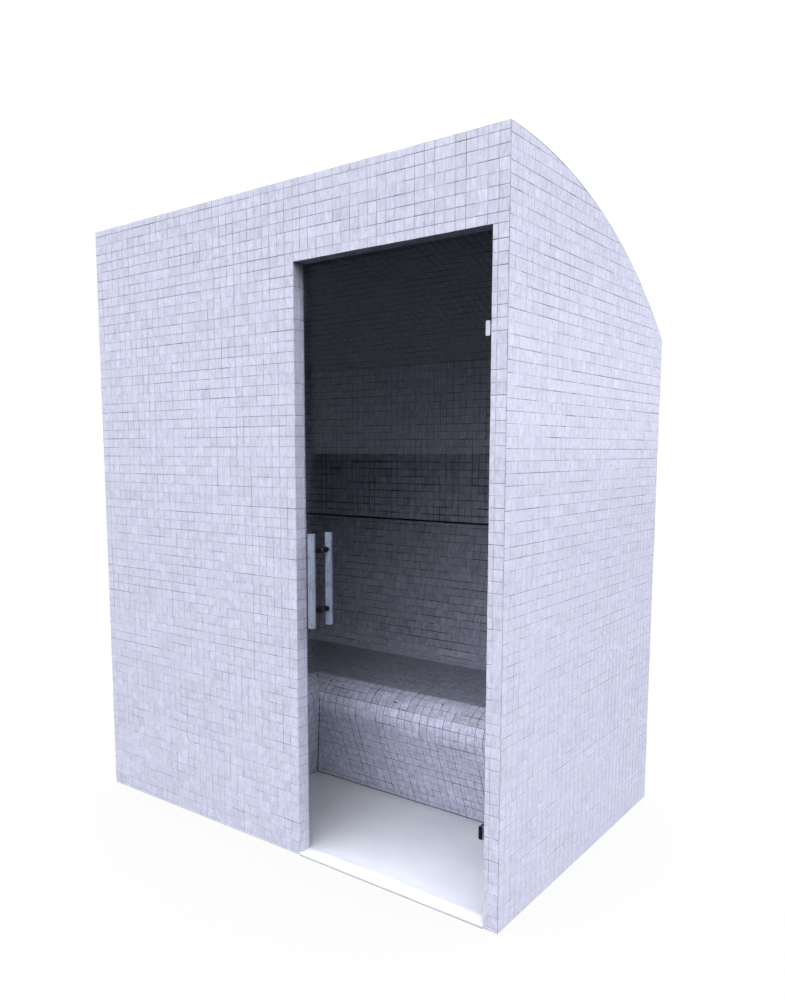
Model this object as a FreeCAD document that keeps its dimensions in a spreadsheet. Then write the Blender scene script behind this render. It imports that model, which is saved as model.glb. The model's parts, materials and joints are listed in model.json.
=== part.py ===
import FreeCAD, Part
import Sketcher
import math
import os

# Steam room: a free-standing tiled cabin with a vaulted roof, an L-shaped bench and a hinged glass door.
# Frame: X to the right, Y from the door front to the rear wall, Z up, origin at the middle of the base.
# Millimetres and degrees.

DIMENSIONS = (
    ("cabin_width", 1800, "outer width over the tiles"),
    ("cabin_depth", 1180, "outer depth over the tiles"),
    ("front_height", 2200, "height of the front, where the roof arc starts level"),
    ("rear_height", 1776, "height of the rear, where the roof arc ends"),
    ("wall_board", 40, "foam construction board of the walls"),
    ("roof_board", 45, "foam board of the vaulted roof"),
    ("mosaic", 5, "tile and its adhesive bed"),
    ("tile_floor_joint", 2, "joint between the outer tiles and the floor"),
    ("panel_screw_low", 300, "lowest screw of a board corner"),
    ("panel_screw_pitch", 600, "between the screws of a board corner"),
    ("panel_screw_length", 120, "board screws under the tiles"),
    ("panel_screw_radius", 4, "board screws"),
    ("panel_screw_head", 3, "flat head of the board screws"),
    ("panel_screw_head_radius", 17, "flat head of the board screws"),
    ("tray_height", 10, "thickness of the floor tray"),
    ("doorway_width", 713, "clear width of the tiled doorway"),
    ("door_head", 248, "front above the doorway"),
    ("nose_reach", 583, "wall to the centre of the bench nose"),
    ("nose_radius", 100, "rounding of the bench nose"),
    ("seat_height", 457, "top of the seat at the nose"),
    ("seat_fall", 1.5, "fall of the seat towards the nose"),
    ("front_rake", 21, "lean of the bench front under the nose"),
    ("backrest_top", 1050, "height of the backrest"),
    ("backrest_ledge", 15, "depth of the ledge on top of the backrest"),
    ("backrest_recline", 9, "lean of the backrest"),
    ("coving_radius", 60, "hollow between seat and backrest"),
    ("pipe_radius", 14, "outside of the steam pipe"),
    ("pipe_bore", 12, "inside of the steam pipe"),
    ("pipe_clearance", 0.3, "around the steam pipe and the probe"),
    ("steam_inset", 200, "front wall to the steam pipe"),
    ("steam_height", 180, "steam pipe above the base"),
    ("escutcheon_radius", 42, "ring where the steam pipe leaves the bench"),
    ("escutcheon_front", 25, "middle of the ring in front of the tiles"),
    ("head_radius", 30, "steam outlet head"),
    ("head_length", 30, "steam outlet head along the pipe"),
    ("head_wall", 3, "shell of the steam outlet head"),
    ("head_round", 10, "rounded front edge of the steam outlet head"),
    ("head_slot_start", 6, "back of the steam outlet head to its slot"),
    ("head_slot_width", 32, "slot under the steam outlet head"),
    ("pipe_in_head", 12, "length of pipe inside the head"),
    ("probe_inset", 240, "front wall to the temperature probe"),
    ("probe_height", 1500, "temperature probe above the base"),
    ("probe_stem_radius", 6, "probe stem in the wall"),
    ("probe_flange_radius", 18, "probe flange on the tiles"),
    ("probe_flange", 4, "thickness of the probe flange"),
    ("probe_neck_radius", 7, "neck in front of the flange"),
    ("probe_neck_end", 12, "end of the neck in front of the tiles"),
    ("probe_tip_radius", 3, "sensing tip"),
    ("probe_reach", 45, "probe tip in front of the tiles"),
    ("drain_from_left", 675, "left wall to the drain"),
    ("drain_from_front", 210, "front wall to the drain"),
    ("drain_radius", 60, "drain body in the tray"),
    ("drain_clearance", 0.3, "around the drain body"),
    ("grate_radius", 52, "drain grate"),
    ("grate_thickness", 3, "drain grate"),
    ("grate_clearance", 0.5, "around the grate"),
    ("grate_ledge", 7, "width of the ledge under the grate"),
    ("grate_slots", 16, "slots round the grate"),
    ("grate_slot_width", 5, "width of a slot"),
    ("grate_slot_start", 14, "inner end of a slot"),
    ("grate_slot_end", 42, "outer end of a slot"),
    ("drain_floor", 3, "bottom of the drain body"),
    ("outlet_radius", 25, "waste outlet in the drain body"),
    ("glass", 8, "door glass"),
    ("glass_setback", 40, "front of the tiles to the glass"),
    ("latch_gap", 3, "glass to the latch jamb"),
    ("hinge_gap", 8, "glass to the hinge wall"),
    ("head_gap", 4, "glass to the soffit"),
    ("sill_gap", 10, "tray to the glass"),
    ("hinge_setback", 14, "hinge axis to the hinge wall"),
    ("upper_hinge_drop", 258, "top of the doorway to the middle of the upper hinge"),
    ("lower_hinge", 268, "base to the middle of the lower hinge"),
    ("hinge_height", 40, "hinge plates"),
    ("hinge_plate", 5, "thickness of the wall plate"),
    ("hinge_plate_width", 40, "width of the wall plate"),
    ("hinge_neck", 8, "thickness of the hinge necks"),
    ("hinge_corner", 3, "corner rounding of the hinge plates"),
    ("knuckle_radius", 7.5, "hinge knuckles"),
    ("wall_knuckle", 12, "height of the wall knuckle"),
    ("door_knuckle", 7.2, "height of each door knuckle"),
    ("knuckle_gap", 0.3, "between the knuckles"),
    ("pin_radius", 4, "hinge pin"),
    ("pin_running", 0.05, "pin in the wall knuckle"),
    ("pin_seat", 0.02, "pin in the door knuckles"),
    ("clamp_thickness", 7, "glass clamp plates"),
    ("clamp_reach", 21.5, "hinge axis to the far edge of the clamps"),
    ("clamp_inset", 8, "hinge axis to the near edge of the clamps"),
    ("gasket", 1, "gasket between clamp and glass"),
    ("leaf_reach", 16.5, "hinge axis to the far edge of the leaf"),
    ("leaf_inset", 8.5, "hinge axis to the near edge of the leaf"),
    ("notch_clearance", 1.5, "glass notch round the leaf"),
    ("notch_corner", 5, "inner corners of the glass notch"),
    ("screw_radius", 2, "hinge screws"),
    ("screw_clearance", 0.1, "round the screws"),
    ("screw_head_radius", 3.5, "hinge screw heads"),
    ("screw_head", 2.4, "height of a hinge screw head"),
    ("clamp_screw_inset", 12.5, "hinge axis to the clamp screws"),
    ("clamp_screw_pitch", 15, "between the two clamp screws"),
    ("clamp_screw_end", 5, "clamp screw into the outer clamp"),
    ("wall_screw_inset", 28, "hinge axis to the wall screws"),
    ("wall_screw_pitch", 27, "between the two wall screws"),
    ("wall_screw_length", 38, "wall screw behind its head"),
    ("handle_inset", 62, "glass edge to the handle"),
    ("handle_height", 948, "middle of the handle"),
    ("bar_length", 305, "handle bars over their caps"),
    ("bar_radius", 12.5, "handle bars"),
    ("bar_wall", 1.5, "tube wall of the bars"),
    ("bar_spacing", 84, "between the axes of the two bars"),
    ("cap_thickness", 1.5, "bar end caps"),
    ("cap_plug", 6, "end cap inside the tube"),
    ("cap_clearance", 0.1, "end cap in the tube"),
    ("post_radius", 9.5, "handle posts"),
    ("post_pitch", 196, "between the handle posts"),
    ("post_seat", 0.05, "post saddle on the bar"),
    ("washer", 1, "washer between post and glass"),
    ("washer_radius", 10, "washer between post and glass"),
    ("stud_radius", 4, "stud through the glass"),
    ("stud_reach", 18, "glass face to the end of the stud"),
    ("stud_clearance", 0.1, "stud in the posts"),
    ("glass_hole", 6, "handle hole in the glass"),
    ("seal_wall", 1.2, "seal profiles on the glass edges"),
    ("seal_grip", 14, "seal lips up the glass"),
    ("seal_clearance", 0.1, "seal lips to the glass"),
    ("seal_fin", 1.6, "thickness of the sealing fins"),
    ("seal_gap", 0.5, "fin to the surface it seals on"),
)

doc = FreeCAD.newDocument("steam_room")
sheet = doc.addObject("Spreadsheet::Sheet", "Dims")
for row, (alias, size, note) in enumerate(DIMENSIONS, start=1):
    sheet.set(f"A{row}", note)
    sheet.set(f"B{row}", str(size))
    sheet.setAlias(f"B{row}", alias)
doc.recompute()

# Expressions for the planes that several pieces share.
HALF_X = "(Dims.cabin_width / 2)"
HALF_Y = "(Dims.cabin_depth / 2)"
X_BOARD_OUT = f"({HALF_X} - Dims.mosaic)"
X_BOARD_IN = f"({X_BOARD_OUT} - Dims.wall_board)"
X_ROOM = f"({X_BOARD_IN} - Dims.mosaic)"
Y_BOARD_OUT = f"({HALF_Y} - Dims.mosaic)"
Y_BOARD_IN = f"({Y_BOARD_OUT} - Dims.wall_board)"
Y_ROOM = f"({Y_BOARD_IN} - Dims.mosaic)"
FLOOR = "Dims.tray_height"

ROOF_DROP = "(Dims.front_height - Dims.rear_height)"
ROOF_RADIUS = f"((Dims.cabin_depth ^ 2 + {ROOF_DROP} ^ 2) / (2 * {ROOF_DROP}))"
ROOF_CENTRE = f"(Dims.front_height - {ROOF_RADIUS})"
VAULT_UNDERSIDE = f"({ROOF_RADIUS} - Dims.roof_board)"
CEILING = f"({VAULT_UNDERSIDE} - Dims.mosaic)"

X_LATCH = f"({X_ROOM} - Dims.doorway_width)"
X_JAMB_BOARD = f"({X_LATCH} - Dims.mosaic)"
DOORWAY_TOP = "(Dims.front_height - Dims.door_head)"
Z_LINTEL = f"({DOORWAY_TOP} + Dims.mosaic)"

X_HINGE = f"({X_ROOM} - Dims.hinge_setback)"
Y_GLASS = f"(-{HALF_Y} + Dims.glass_setback + Dims.glass / 2)"
X_GLASS_LEFT = f"({X_LATCH} + Dims.latch_gap)"
X_GLASS_RIGHT = f"({X_ROOM} - Dims.hinge_gap)"
Z_GLASS_LOW = f"({FLOOR} + Dims.sill_gap)"
Z_GLASS_TOP = f"({DOORWAY_TOP} - Dims.head_gap)"
HINGES = {"upper": f"({DOORWAY_TOP} - Dims.upper_hinge_drop)", "lower": "Dims.lower_hinge"}

STEAM_Y = f"(-{Y_ROOM} + Dims.steam_inset)"
PROBE_Y = f"(-{Y_ROOM} + Dims.probe_inset)"
DRAIN_X = f"(-{X_ROOM} + Dims.drain_from_left)"
DRAIN_Y = f"(-{Y_ROOM} + Dims.drain_from_front)"

COUNTER_CLOCKWISE = 1
CLOCKWISE = -1

subparts = []


def value(expression):
    """The number that an expression of the sheet gives."""
    return float(sheet.evalExpression(expression))


def roof_height(y, radius):
    """Height of a roof arc of this radius at a place along the depth."""
    return f"({ROOF_CENTRE} + sqrt({radius} ^ 2 - ({y} + {HALF_Y}) ^ 2))"


def keep(label, piece):
    """Names a finished sub-part."""
    piece.Label = label
    subparts.append(piece)
    return piece


def new_body(name):
    return doc.addObject("PartDesign::Body", name)


def origin(body, role):
    """One of the body's own origin planes or axes."""
    return next(feature for feature in body.Origin.OriginFeatures if feature.Role == role)


def new_sketch(body, plane, offset="0"):
    """A sketch on an origin plane, moved along that plane's normal."""
    sketch = body.newObject("Sketcher::SketchObject", body.Name + "_sketch")
    sketch.AttachmentSupport = [(origin(body, plane), "")]
    sketch.MapMode = "FlatFace"
    sketch.setExpression("AttachmentOffset.Base.z", offset)
    return sketch


def bind_constraint(sketch, kind, target, expression):
    """A dimension of the sketch that follows the sheet."""
    number = sketch.addConstraint(Sketcher.Constraint(kind, *target, value(expression)))
    sketch.setExpression(f"Constraints[{number}]", expression)


def bind_point(sketch, geometry, vertex, point):
    """Places one sketch point from the sketch origin."""
    bind_constraint(sketch, "DistanceX", (-1, 1, geometry, vertex), point[0])
    bind_constraint(sketch, "DistanceY", (-1, 1, geometry, vertex), point[1])


def arc_between(start, end, radius, turn):
    """The short arc from start to end, turning the way that is asked."""
    chord = end - start
    reach = math.sqrt(radius ** 2 - (chord.Length / 2) ** 2)
    side = FreeCAD.Vector(-chord.y, chord.x, 0).normalize() * turn
    centre = (start + end) * 0.5 + side * reach
    first, last = (start, end) if turn == COUNTER_CLOCKWISE else (end, start)
    angles = [math.atan2(point.y - centre.y, point.x - centre.x) for point in (first, last)]
    circle = Part.Circle(centre, FreeCAD.Vector(0, 0, 1), radius)
    return Part.ArcOfCircle(circle, *angles)


def draw_outline(sketch, points, arcs=None):
    """Closed outline through points given as pairs of expressions.

    arcs maps the number of a side to its radius and turning direction; the other sides are straight.
    """
    arcs = arcs or {}
    places = [FreeCAD.Vector(value(x), value(y), 0) for x, y in points]
    starts = []
    ends = []
    for side, start in enumerate(places):
        end = places[(side + 1) % len(places)]
        if side in arcs:
            radius, turn = arcs[side]
            sketch.addGeometry(arc_between(start, end, value(radius), turn), False)
            starts.append(1 if turn == COUNTER_CLOCKWISE else 2)
        else:
            sketch.addGeometry(Part.LineSegment(start, end), False)
            starts.append(1)
        ends.append(3 - starts[-1])
    for side in range(len(places)):
        following = (side + 1) % len(places)
        sketch.addConstraint(Sketcher.Constraint("Coincident", side, ends[side], following, starts[following]))
    for side, point in enumerate(points):
        bind_point(sketch, side, starts[side], point)
    for side, (radius, _) in arcs.items():
        bind_constraint(sketch, "Radius", (side,), radius)


def draw_circles(sketch, circles):
    """Circles given as x, y and radius expressions."""
    for number, (x, y, radius) in enumerate(circles):
        centre = FreeCAD.Vector(value(x), value(y), 0)
        sketch.addGeometry(Part.Circle(centre, FreeCAD.Vector(0, 0, 1), value(radius)), False)
        bind_point(sketch, number, 3, (x, y))
        bind_constraint(sketch, "Radius", (number,), radius)


def span(plane, low, high):
    """Sketch offset and pad length that fill low to high along the plane's world axis."""
    offset = f"-({high})" if plane == "XZ_Plane" else low
    return offset, f"({high}) - ({low})"


def pad(body, sketch, length):
    feature = body.newObject("PartDesign::Pad", body.Name + "_pad")
    feature.Profile = sketch
    feature.setExpression("Length", length)
    return feature


def prism(name, plane, points, low, high, arcs=None):
    """A body padded from an outline, from low to high along the plane's world axis."""
    body = new_body(name)
    offset, length = span(plane, low, high)
    sketch = new_sketch(body, plane, offset)
    draw_outline(sketch, points, arcs)
    pad(body, sketch, length)
    return body


def ring_prism(name, plane, circles, low, high):
    """A body padded from circles."""
    body = new_body(name)
    offset, length = span(plane, low, high)
    sketch = new_sketch(body, plane, offset)
    draw_circles(sketch, circles)
    pad(body, sketch, length)
    return body


def cut_through(body, plane, points=None, circles=None, both_ways=True):
    """Pocket through the whole body; the volume has to go down."""
    doc.recompute()
    before = body.Shape.Volume
    sketch = new_sketch(body, plane)
    if points:
        draw_outline(sketch, points)
    if circles:
        draw_circles(sketch, circles)
    pocket = body.newObject("PartDesign::Pocket", body.Name + "_pocket")
    pocket.Profile = sketch
    pocket.SideType = "Symmetric" if both_ways else "One side"
    pocket.Type = "ThroughAll"
    doc.recompute()
    if body.Shape.Volume >= before:
        raise RuntimeError(f"{body.Name}: a pocket cut nothing")
    return pocket


def revolve(name, axis, points, place, arcs=None):
    """A body turned about its own X or Z axis, from an outline in its XZ plane."""
    body = new_body(name)
    sketch = new_sketch(body, "XZ_Plane")
    draw_outline(sketch, points, arcs)
    feature = body.newObject("PartDesign::Revolution", name + "_revolution")
    feature.Profile = sketch
    feature.ReferenceAxis = (origin(body, axis), [""])
    feature.Angle = 360
    put(body, place)
    return body


def put(piece, place):
    for letter, expression in zip("xyz", place):
        piece.setExpression(f"Placement.Base.{letter}", expression)


def box(low, high):
    """A block between two corners."""
    piece = doc.addObject("Part::Box", "block")
    for side, first, last in zip(("Length", "Width", "Height"), low, high):
        piece.setExpression(side, f"({last}) - ({first})")
    put(piece, low)
    return piece


def cylinder(place, axis, radius, length):
    """A round bar that starts at a place and runs along +X, +Y or +Z."""
    piece = doc.addObject("Part::Cylinder", "bar")
    direction = {"X": FreeCAD.Vector(1, 0, 0), "Y": FreeCAD.Vector(0, 1, 0), "Z": FreeCAD.Vector(0, 0, 1)}[axis]
    turn = FreeCAD.Rotation(FreeCAD.Vector(0, 0, 1), direction)
    piece.Placement = FreeCAD.Placement(FreeCAD.Vector(), turn)
    piece.setExpression("Radius", radius)
    piece.setExpression("Height", length)
    put(piece, place)
    return piece


def fuse(pieces):
    joined = doc.addObject("Part::MultiFuse", "joined")
    joined.Shapes = pieces
    return joined


def cut(base, tools):
    remainder = doc.addObject("Part::Cut", "remainder")
    remainder.Base = base
    remainder.Tool = tools[0] if len(tools) == 1 else fuse(tools)
    return remainder


def group(pieces):
    """Separate solids that share one node."""
    compound = doc.addObject("Part::Compound", "group")
    compound.Links = pieces
    return compound


def rectangle(low_x, high_x, low_y, high_y):
    return [(low_x, low_y), (high_x, low_y), (high_x, high_y), (low_x, high_y)]


def rounded_plate(name, plane, sides, corner, low, high):
    """A rectangular plate with rounded corners."""
    left, right, bottom, top = sides
    points = [
        (f"{left} + {corner}", bottom),
        (f"{right} - {corner}", bottom),
        (right, f"{bottom} + {corner}"),
        (right, f"{top} - {corner}"),
        (f"{right} - {corner}", top),
        (f"{left} + {corner}", top),
        (left, f"{top} - {corner}"),
        (left, f"{bottom} + {corner}"),
    ]
    arcs = {side: (corner, COUNTER_CLOCKWISE) for side in (1, 3, 5, 7)}
    return prism(name, plane, points, low, high, arcs)


def arched_panel(name, x_span, y_span, z_low, radius):
    """A panel whose top edge follows a roof arc."""
    y_low, y_high = y_span
    points = [
        (y_low, z_low),
        (y_high, z_low),
        (y_high, roof_height(y_high, radius)),
        (y_low, roof_height(y_low, radius)),
    ]
    return prism(name, "YZ_Plane", points, *x_span, {2: (radius, COUNTER_CLOCKWISE)})


def arched_shell(name, x_span, y_span, upper, lower):
    """A curved sheet between two roof arcs."""
    y_low, y_high = y_span
    points = [
        (y_low, roof_height(y_low, lower)),
        (y_high, roof_height(y_high, lower)),
        (y_high, roof_height(y_high, upper)),
        (y_low, roof_height(y_low, upper)),
    ]
    arcs = {0: (lower, CLOCKWISE), 2: (upper, COUNTER_CLOCKWISE)}
    return prism(name, "YZ_Plane", points, *x_span, arcs)


# Holes that pass through several pieces of one wall.
def steam_hole():
    return (STEAM_Y, "Dims.steam_height", "Dims.pipe_radius + Dims.pipe_clearance")


def probe_hole():
    return (PROBE_Y, "Dims.probe_height", "Dims.probe_stem_radius + Dims.pipe_clearance")


def wall_screw_places(middle):
    """Depth and height of the two wall screws of a hinge."""
    y = f"{Y_GLASS} + Dims.wall_screw_inset"
    return [(y, f"{middle} {sign} Dims.wall_screw_pitch / 2") for sign in "-+"]


def wall_screw_holes():
    radius = "Dims.screw_radius + Dims.screw_clearance"
    return [(y, z, radius) for middle in HINGES.values() for y, z in wall_screw_places(middle)]


# Shell of the cabin: boards, their screws, roof and floor tray.
def board_corners():
    """Side, depth and heights of the screws where a side board meets a cross board."""
    middle = f"({Y_BOARD_IN} + Dims.wall_board / 2)"
    column = [f"(Dims.panel_screw_low + {number} * Dims.panel_screw_pitch)" for number in range(3)]
    lintel = ["(Dims.front_height - Dims.door_head / 2)"]
    return {
        "left_front": ("left", f"-{middle}", column),
        "left_rear": ("left", middle, column),
        "right_rear": ("right", middle, column),
        "right_lintel": ("right", f"-{middle}", lintel),
    }


def board_screws(corner, clearance="0"):
    """Screws with a wide flat head, driven through a side board into the edge of a cross board."""
    side, y, heights = board_corners()[corner]
    start = f"-{X_BOARD_OUT}" if side == "left" else f"({X_BOARD_OUT} - Dims.panel_screw_length)"
    head_start = f"-{X_BOARD_OUT}" if side == "left" else f"({X_BOARD_OUT} - Dims.panel_screw_head)"
    screws = []
    for z in heights:
        radius = f"Dims.panel_screw_radius + {clearance}"
        shank = cylinder((start, y, z), "X", radius, "Dims.panel_screw_length")
        head_radius = f"Dims.panel_screw_head_radius + {clearance}"
        head = cylinder((head_start, y, z), "X", head_radius, "Dims.panel_screw_head")
        screws.append(fuse([shank, head]))
    return screws


def drilled(board, corners):
    """The board with the holes of its screws."""
    return cut(board, [hole for corner in corners for hole in board_screws(corner, "Dims.screw_clearance")])


def build_panels():
    depth = (f"-{Y_BOARD_OUT}", Y_BOARD_OUT)
    front = (f"-{Y_BOARD_OUT}", f"-{Y_BOARD_IN}")
    rear = (Y_BOARD_IN, Y_BOARD_OUT)
    left = arched_panel("left_board", (f"-{X_BOARD_OUT}", f"-{X_BOARD_IN}"), depth, "0", VAULT_UNDERSIDE)
    cut_through(left, "YZ_Plane", circles=[steam_hole(), probe_hole()])
    keep("left_wall_panel", drilled(left, ["left_front", "left_rear"]))
    right = arched_panel("right_board", (X_BOARD_IN, X_BOARD_OUT), depth, "0", VAULT_UNDERSIDE)
    cut_through(right, "YZ_Plane", circles=wall_screw_holes())
    keep("right_wall_panel", drilled(right, ["right_rear", "right_lintel"]))
    back = arched_panel("back_board", (f"-{X_BOARD_IN}", X_BOARD_IN), rear, "0", VAULT_UNDERSIDE)
    keep("back_wall_panel", drilled(back, ["left_rear", "right_rear"]))
    beside_door = arched_panel("front_board", (f"-{X_BOARD_IN}", X_JAMB_BOARD), front, "0", VAULT_UNDERSIDE)
    keep("front_wall_panel", drilled(beside_door, ["left_front"]))
    over_door = arched_panel("lintel_board", (X_JAMB_BOARD, X_BOARD_IN), front, Z_LINTEL, VAULT_UNDERSIDE)
    keep("lintel_panel", drilled(over_door, ["right_lintel"]))
    keep("panel_screws", group([screw for corner in board_corners() for screw in board_screws(corner)]))
    full_width = (f"-{X_BOARD_OUT}", X_BOARD_OUT)
    keep("roof_vault", arched_shell("roof_vault", full_width, depth, ROOF_RADIUS, VAULT_UNDERSIDE))


def build_tray():
    """Floor tray with a tongue that fills the doorway."""
    points = [
        (f"-{X_BOARD_IN}", f"-{Y_BOARD_IN}"),
        (X_LATCH, f"-{Y_BOARD_IN}"),
        (X_LATCH, f"-{HALF_Y}"),
        (X_ROOM, f"-{HALF_Y}"),
        (X_ROOM, f"-{Y_BOARD_IN}"),
        (X_BOARD_IN, f"-{Y_BOARD_IN}"),
        (X_BOARD_IN, Y_BOARD_IN),
        (f"-{X_BOARD_IN}", Y_BOARD_IN),
    ]
    tray = prism("floor_tray", "XY_Plane", points, "0", FLOOR)
    hole = (DRAIN_X, DRAIN_Y, "Dims.drain_radius + Dims.drain_clearance")
    cut_through(tray, "XY_Plane", circles=[hole])
    keep("floor_tray", tray)


# Tile skins on the shell.
def build_outer_mosaics():
    low = "Dims.tile_floor_joint"
    points = [
        (f"-{HALF_X}", low),
        (X_LATCH, low),
        (X_LATCH, DOORWAY_TOP),
        (X_ROOM, DOORWAY_TOP),
        (X_ROOM, low),
        (HALF_X, low),
        (HALF_X, "Dims.front_height"),
        (f"-{HALF_X}", "Dims.front_height"),
    ]
    front = prism("front_outer_mosaic", "XZ_Plane", points, f"-{HALF_Y}", f"-{Y_BOARD_OUT}")
    keep("front_outer_mosaic", front)
    depth = (f"-{Y_BOARD_OUT}", Y_BOARD_OUT)
    left = arched_panel("left_outer_mosaic", (f"-{HALF_X}", f"-{X_BOARD_OUT}"), depth, low, ROOF_RADIUS)
    cut_through(left, "YZ_Plane", circles=[steam_hole(), probe_hole()])
    keep("left_outer_mosaic", left)
    thickness = (X_BOARD_OUT, HALF_X)
    keep("right_outer_mosaic", arched_panel("right_outer_mosaic", thickness, depth, low, ROOF_RADIUS))
    width = (f"-{HALF_X}", HALF_X)
    thickness = (Y_BOARD_OUT, HALF_Y)
    keep("rear_outer_mosaic", arched_panel("rear_outer_mosaic", width, thickness, low, ROOF_RADIUS))


def build_doorway_mosaics():
    reveal = (f"-{Y_BOARD_OUT}", f"-{Y_BOARD_IN}")
    jamb = box((X_JAMB_BOARD, reveal[0], FLOOR), (X_LATCH, reveal[1], Z_LINTEL))
    keep("doorway_jamb_mosaic", jamb)
    soffit = box((X_LATCH, reveal[0], DOORWAY_TOP), (X_ROOM, reveal[1], Z_LINTEL))
    keep("doorway_soffit_mosaic", soffit)


def build_inner_mosaics():
    depth = (f"-{Y_BOARD_IN}", Y_BOARD_IN)
    above_bench = "Dims.backrest_top"
    left = arched_panel("left_inner_mosaic", (f"-{X_BOARD_IN}", f"-{X_ROOM}"), depth, above_bench, CEILING)
    cut_through(left, "YZ_Plane", circles=[probe_hole()])
    keep("left_inner_mosaic", left)
    width = (f"-{X_ROOM}", X_ROOM)
    thickness = (Y_ROOM, Y_BOARD_IN)
    keep("back_inner_mosaic", arched_panel("back_inner_mosaic", width, thickness, above_bench, CEILING))
    points = [
        (f"-{Y_BOARD_OUT}", FLOOR),
        (Y_BOARD_IN, FLOOR),
        (Y_BOARD_IN, roof_height(Y_BOARD_IN, CEILING)),
        (f"-{Y_BOARD_IN}", roof_height(f"-{Y_BOARD_IN}", CEILING)),
        (f"-{Y_BOARD_IN}", Z_LINTEL),
        (f"-{Y_BOARD_OUT}", Z_LINTEL),
    ]
    arcs = {2: (CEILING, COUNTER_CLOCKWISE)}
    right = prism("right_inner_mosaic", "YZ_Plane", points, X_ROOM, X_BOARD_IN, arcs)
    cut_through(right, "YZ_Plane", circles=wall_screw_holes())
    keep("right_inner_mosaic", right)
    top = roof_height(f"-{Y_ROOM}", CEILING)
    points = [
        (f"-{X_ROOM}", FLOOR),
        (X_LATCH, FLOOR),
        (X_LATCH, DOORWAY_TOP),
        (X_ROOM, DOORWAY_TOP),
        (X_ROOM, top),
        (f"-{X_ROOM}", top),
    ]
    front = prism("front_inner_mosaic", "XZ_Plane", points, f"-{Y_BOARD_IN}", f"-{Y_ROOM}")
    keep("front_inner_mosaic", front)
    room = (f"-{X_BOARD_IN}", X_BOARD_IN)
    keep("ceiling_mosaic", arched_shell("ceiling_mosaic", room, depth, VAULT_UNDERSIDE, CEILING))


# L-shaped bench. Profile points are given as reach from the finished wall and height.
def bench_profile(cover):
    """Corner points of the bench, a cover thickness inside the finished surface."""
    radius = f"(Dims.nose_radius - {cover})"
    centre = ("Dims.nose_reach", "(Dims.seat_height - Dims.nose_radius)")
    riser = (
        f"({centre[0]} + {radius} * cos(Dims.front_rake))",
        f"({centre[1]} - {radius} * sin(Dims.front_rake))",
    )
    foot = (f"({riser[0]} - ({riser[1]} - {FLOOR}) * tan(Dims.front_rake))", FLOOR)
    seat = (
        f"({centre[0]} + {radius} * sin(Dims.seat_fall))",
        f"({centre[1]} + {radius} * cos(Dims.seat_fall))",
    )
    top_height = f"(Dims.backrest_top - {cover})"
    lean = "tan(Dims.backrest_recline)"
    top_reach = f"(Dims.backrest_ledge + {cover} * ({lean} - 1 / cos(Dims.backrest_recline)))"
    fall = "tan(Dims.seat_fall)"
    corner_height = (
        f"(({seat[1]} + ({seat[0]} - {top_reach} - {top_height} * {lean}) * {fall}) / (1 - {lean} * {fall}))"
    )
    corner = (f"({top_reach} + ({top_height} - {corner_height}) * {lean})", corner_height)
    wall_seat = ("-Dims.mosaic", f"({seat[1]} + ({seat[0]} + Dims.mosaic) * {fall})")
    return {
        "radius": radius,
        "foot": foot,
        "riser": riser,
        "seat": seat,
        "corner": corner,
        "top": (top_reach, top_height),
        "wall_top": ("-Dims.mosaic", top_height),
        "wall_seat": wall_seat,
        "wall_foot": ("-Dims.mosaic", FLOOR),
    }


def coving_points(corner):
    """Where the hollow leaves the seat and where it meets the backrest."""
    length = "(Dims.coving_radius / tan(45 + (Dims.seat_fall + Dims.backrest_recline) / 2))"
    on_seat = (
        f"({corner[0]} + {length} * cos(Dims.seat_fall))",
        f"({corner[1]} - {length} * sin(Dims.seat_fall))",
    )
    on_back = (
        f"({corner[0]} - {length} * sin(Dims.backrest_recline))",
        f"({corner[1]} + {length} * cos(Dims.backrest_recline))",
    )
    return on_seat, on_back


BENCH_RUNS = {
    "back": {
        "plane": "YZ_Plane",
        "across": lambda reach: f"({Y_ROOM} - ({reach}))",
        "span": (f"-{X_BOARD_IN}", X_ROOM),
        "turn": CLOCKWISE,
        "mitre": [
            (f"-{X_BOARD_IN}", Y_BOARD_IN),
            (f"-{X_BOARD_IN}", f"{Y_BOARD_IN} - Dims.cabin_depth"),
            (f"-{X_BOARD_IN} + Dims.cabin_depth", f"{Y_BOARD_IN} - Dims.cabin_depth"),
        ],
    },
    "left": {
        "plane": "XZ_Plane",
        "across": lambda reach: f"(-{X_ROOM} + ({reach}))",
        "span": (f"-{Y_ROOM}", Y_BOARD_IN),
        "turn": COUNTER_CLOCKWISE,
        "mitre": [
            (f"-{X_BOARD_IN}", Y_BOARD_IN),
            (f"-{X_BOARD_IN} + Dims.cabin_depth", f"{Y_BOARD_IN} - Dims.cabin_depth"),
            (f"-{X_BOARD_IN} + Dims.cabin_depth", Y_BOARD_IN),
        ],
    },
}


def bench_piece(name, run, profile, arcs):
    """One bench piece, swept along its wall and mitred at the corner of the two runs."""
    points = [(run["across"](reach), height) for reach, height in profile]
    turned = {side: (radius, turn * run["turn"]) for side, (radius, turn) in arcs.items()}
    body = prism(name, run["plane"], points, *run["span"], turned)
    cut_through(body, "XY_Plane", points=run["mitre"])
    return body


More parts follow.
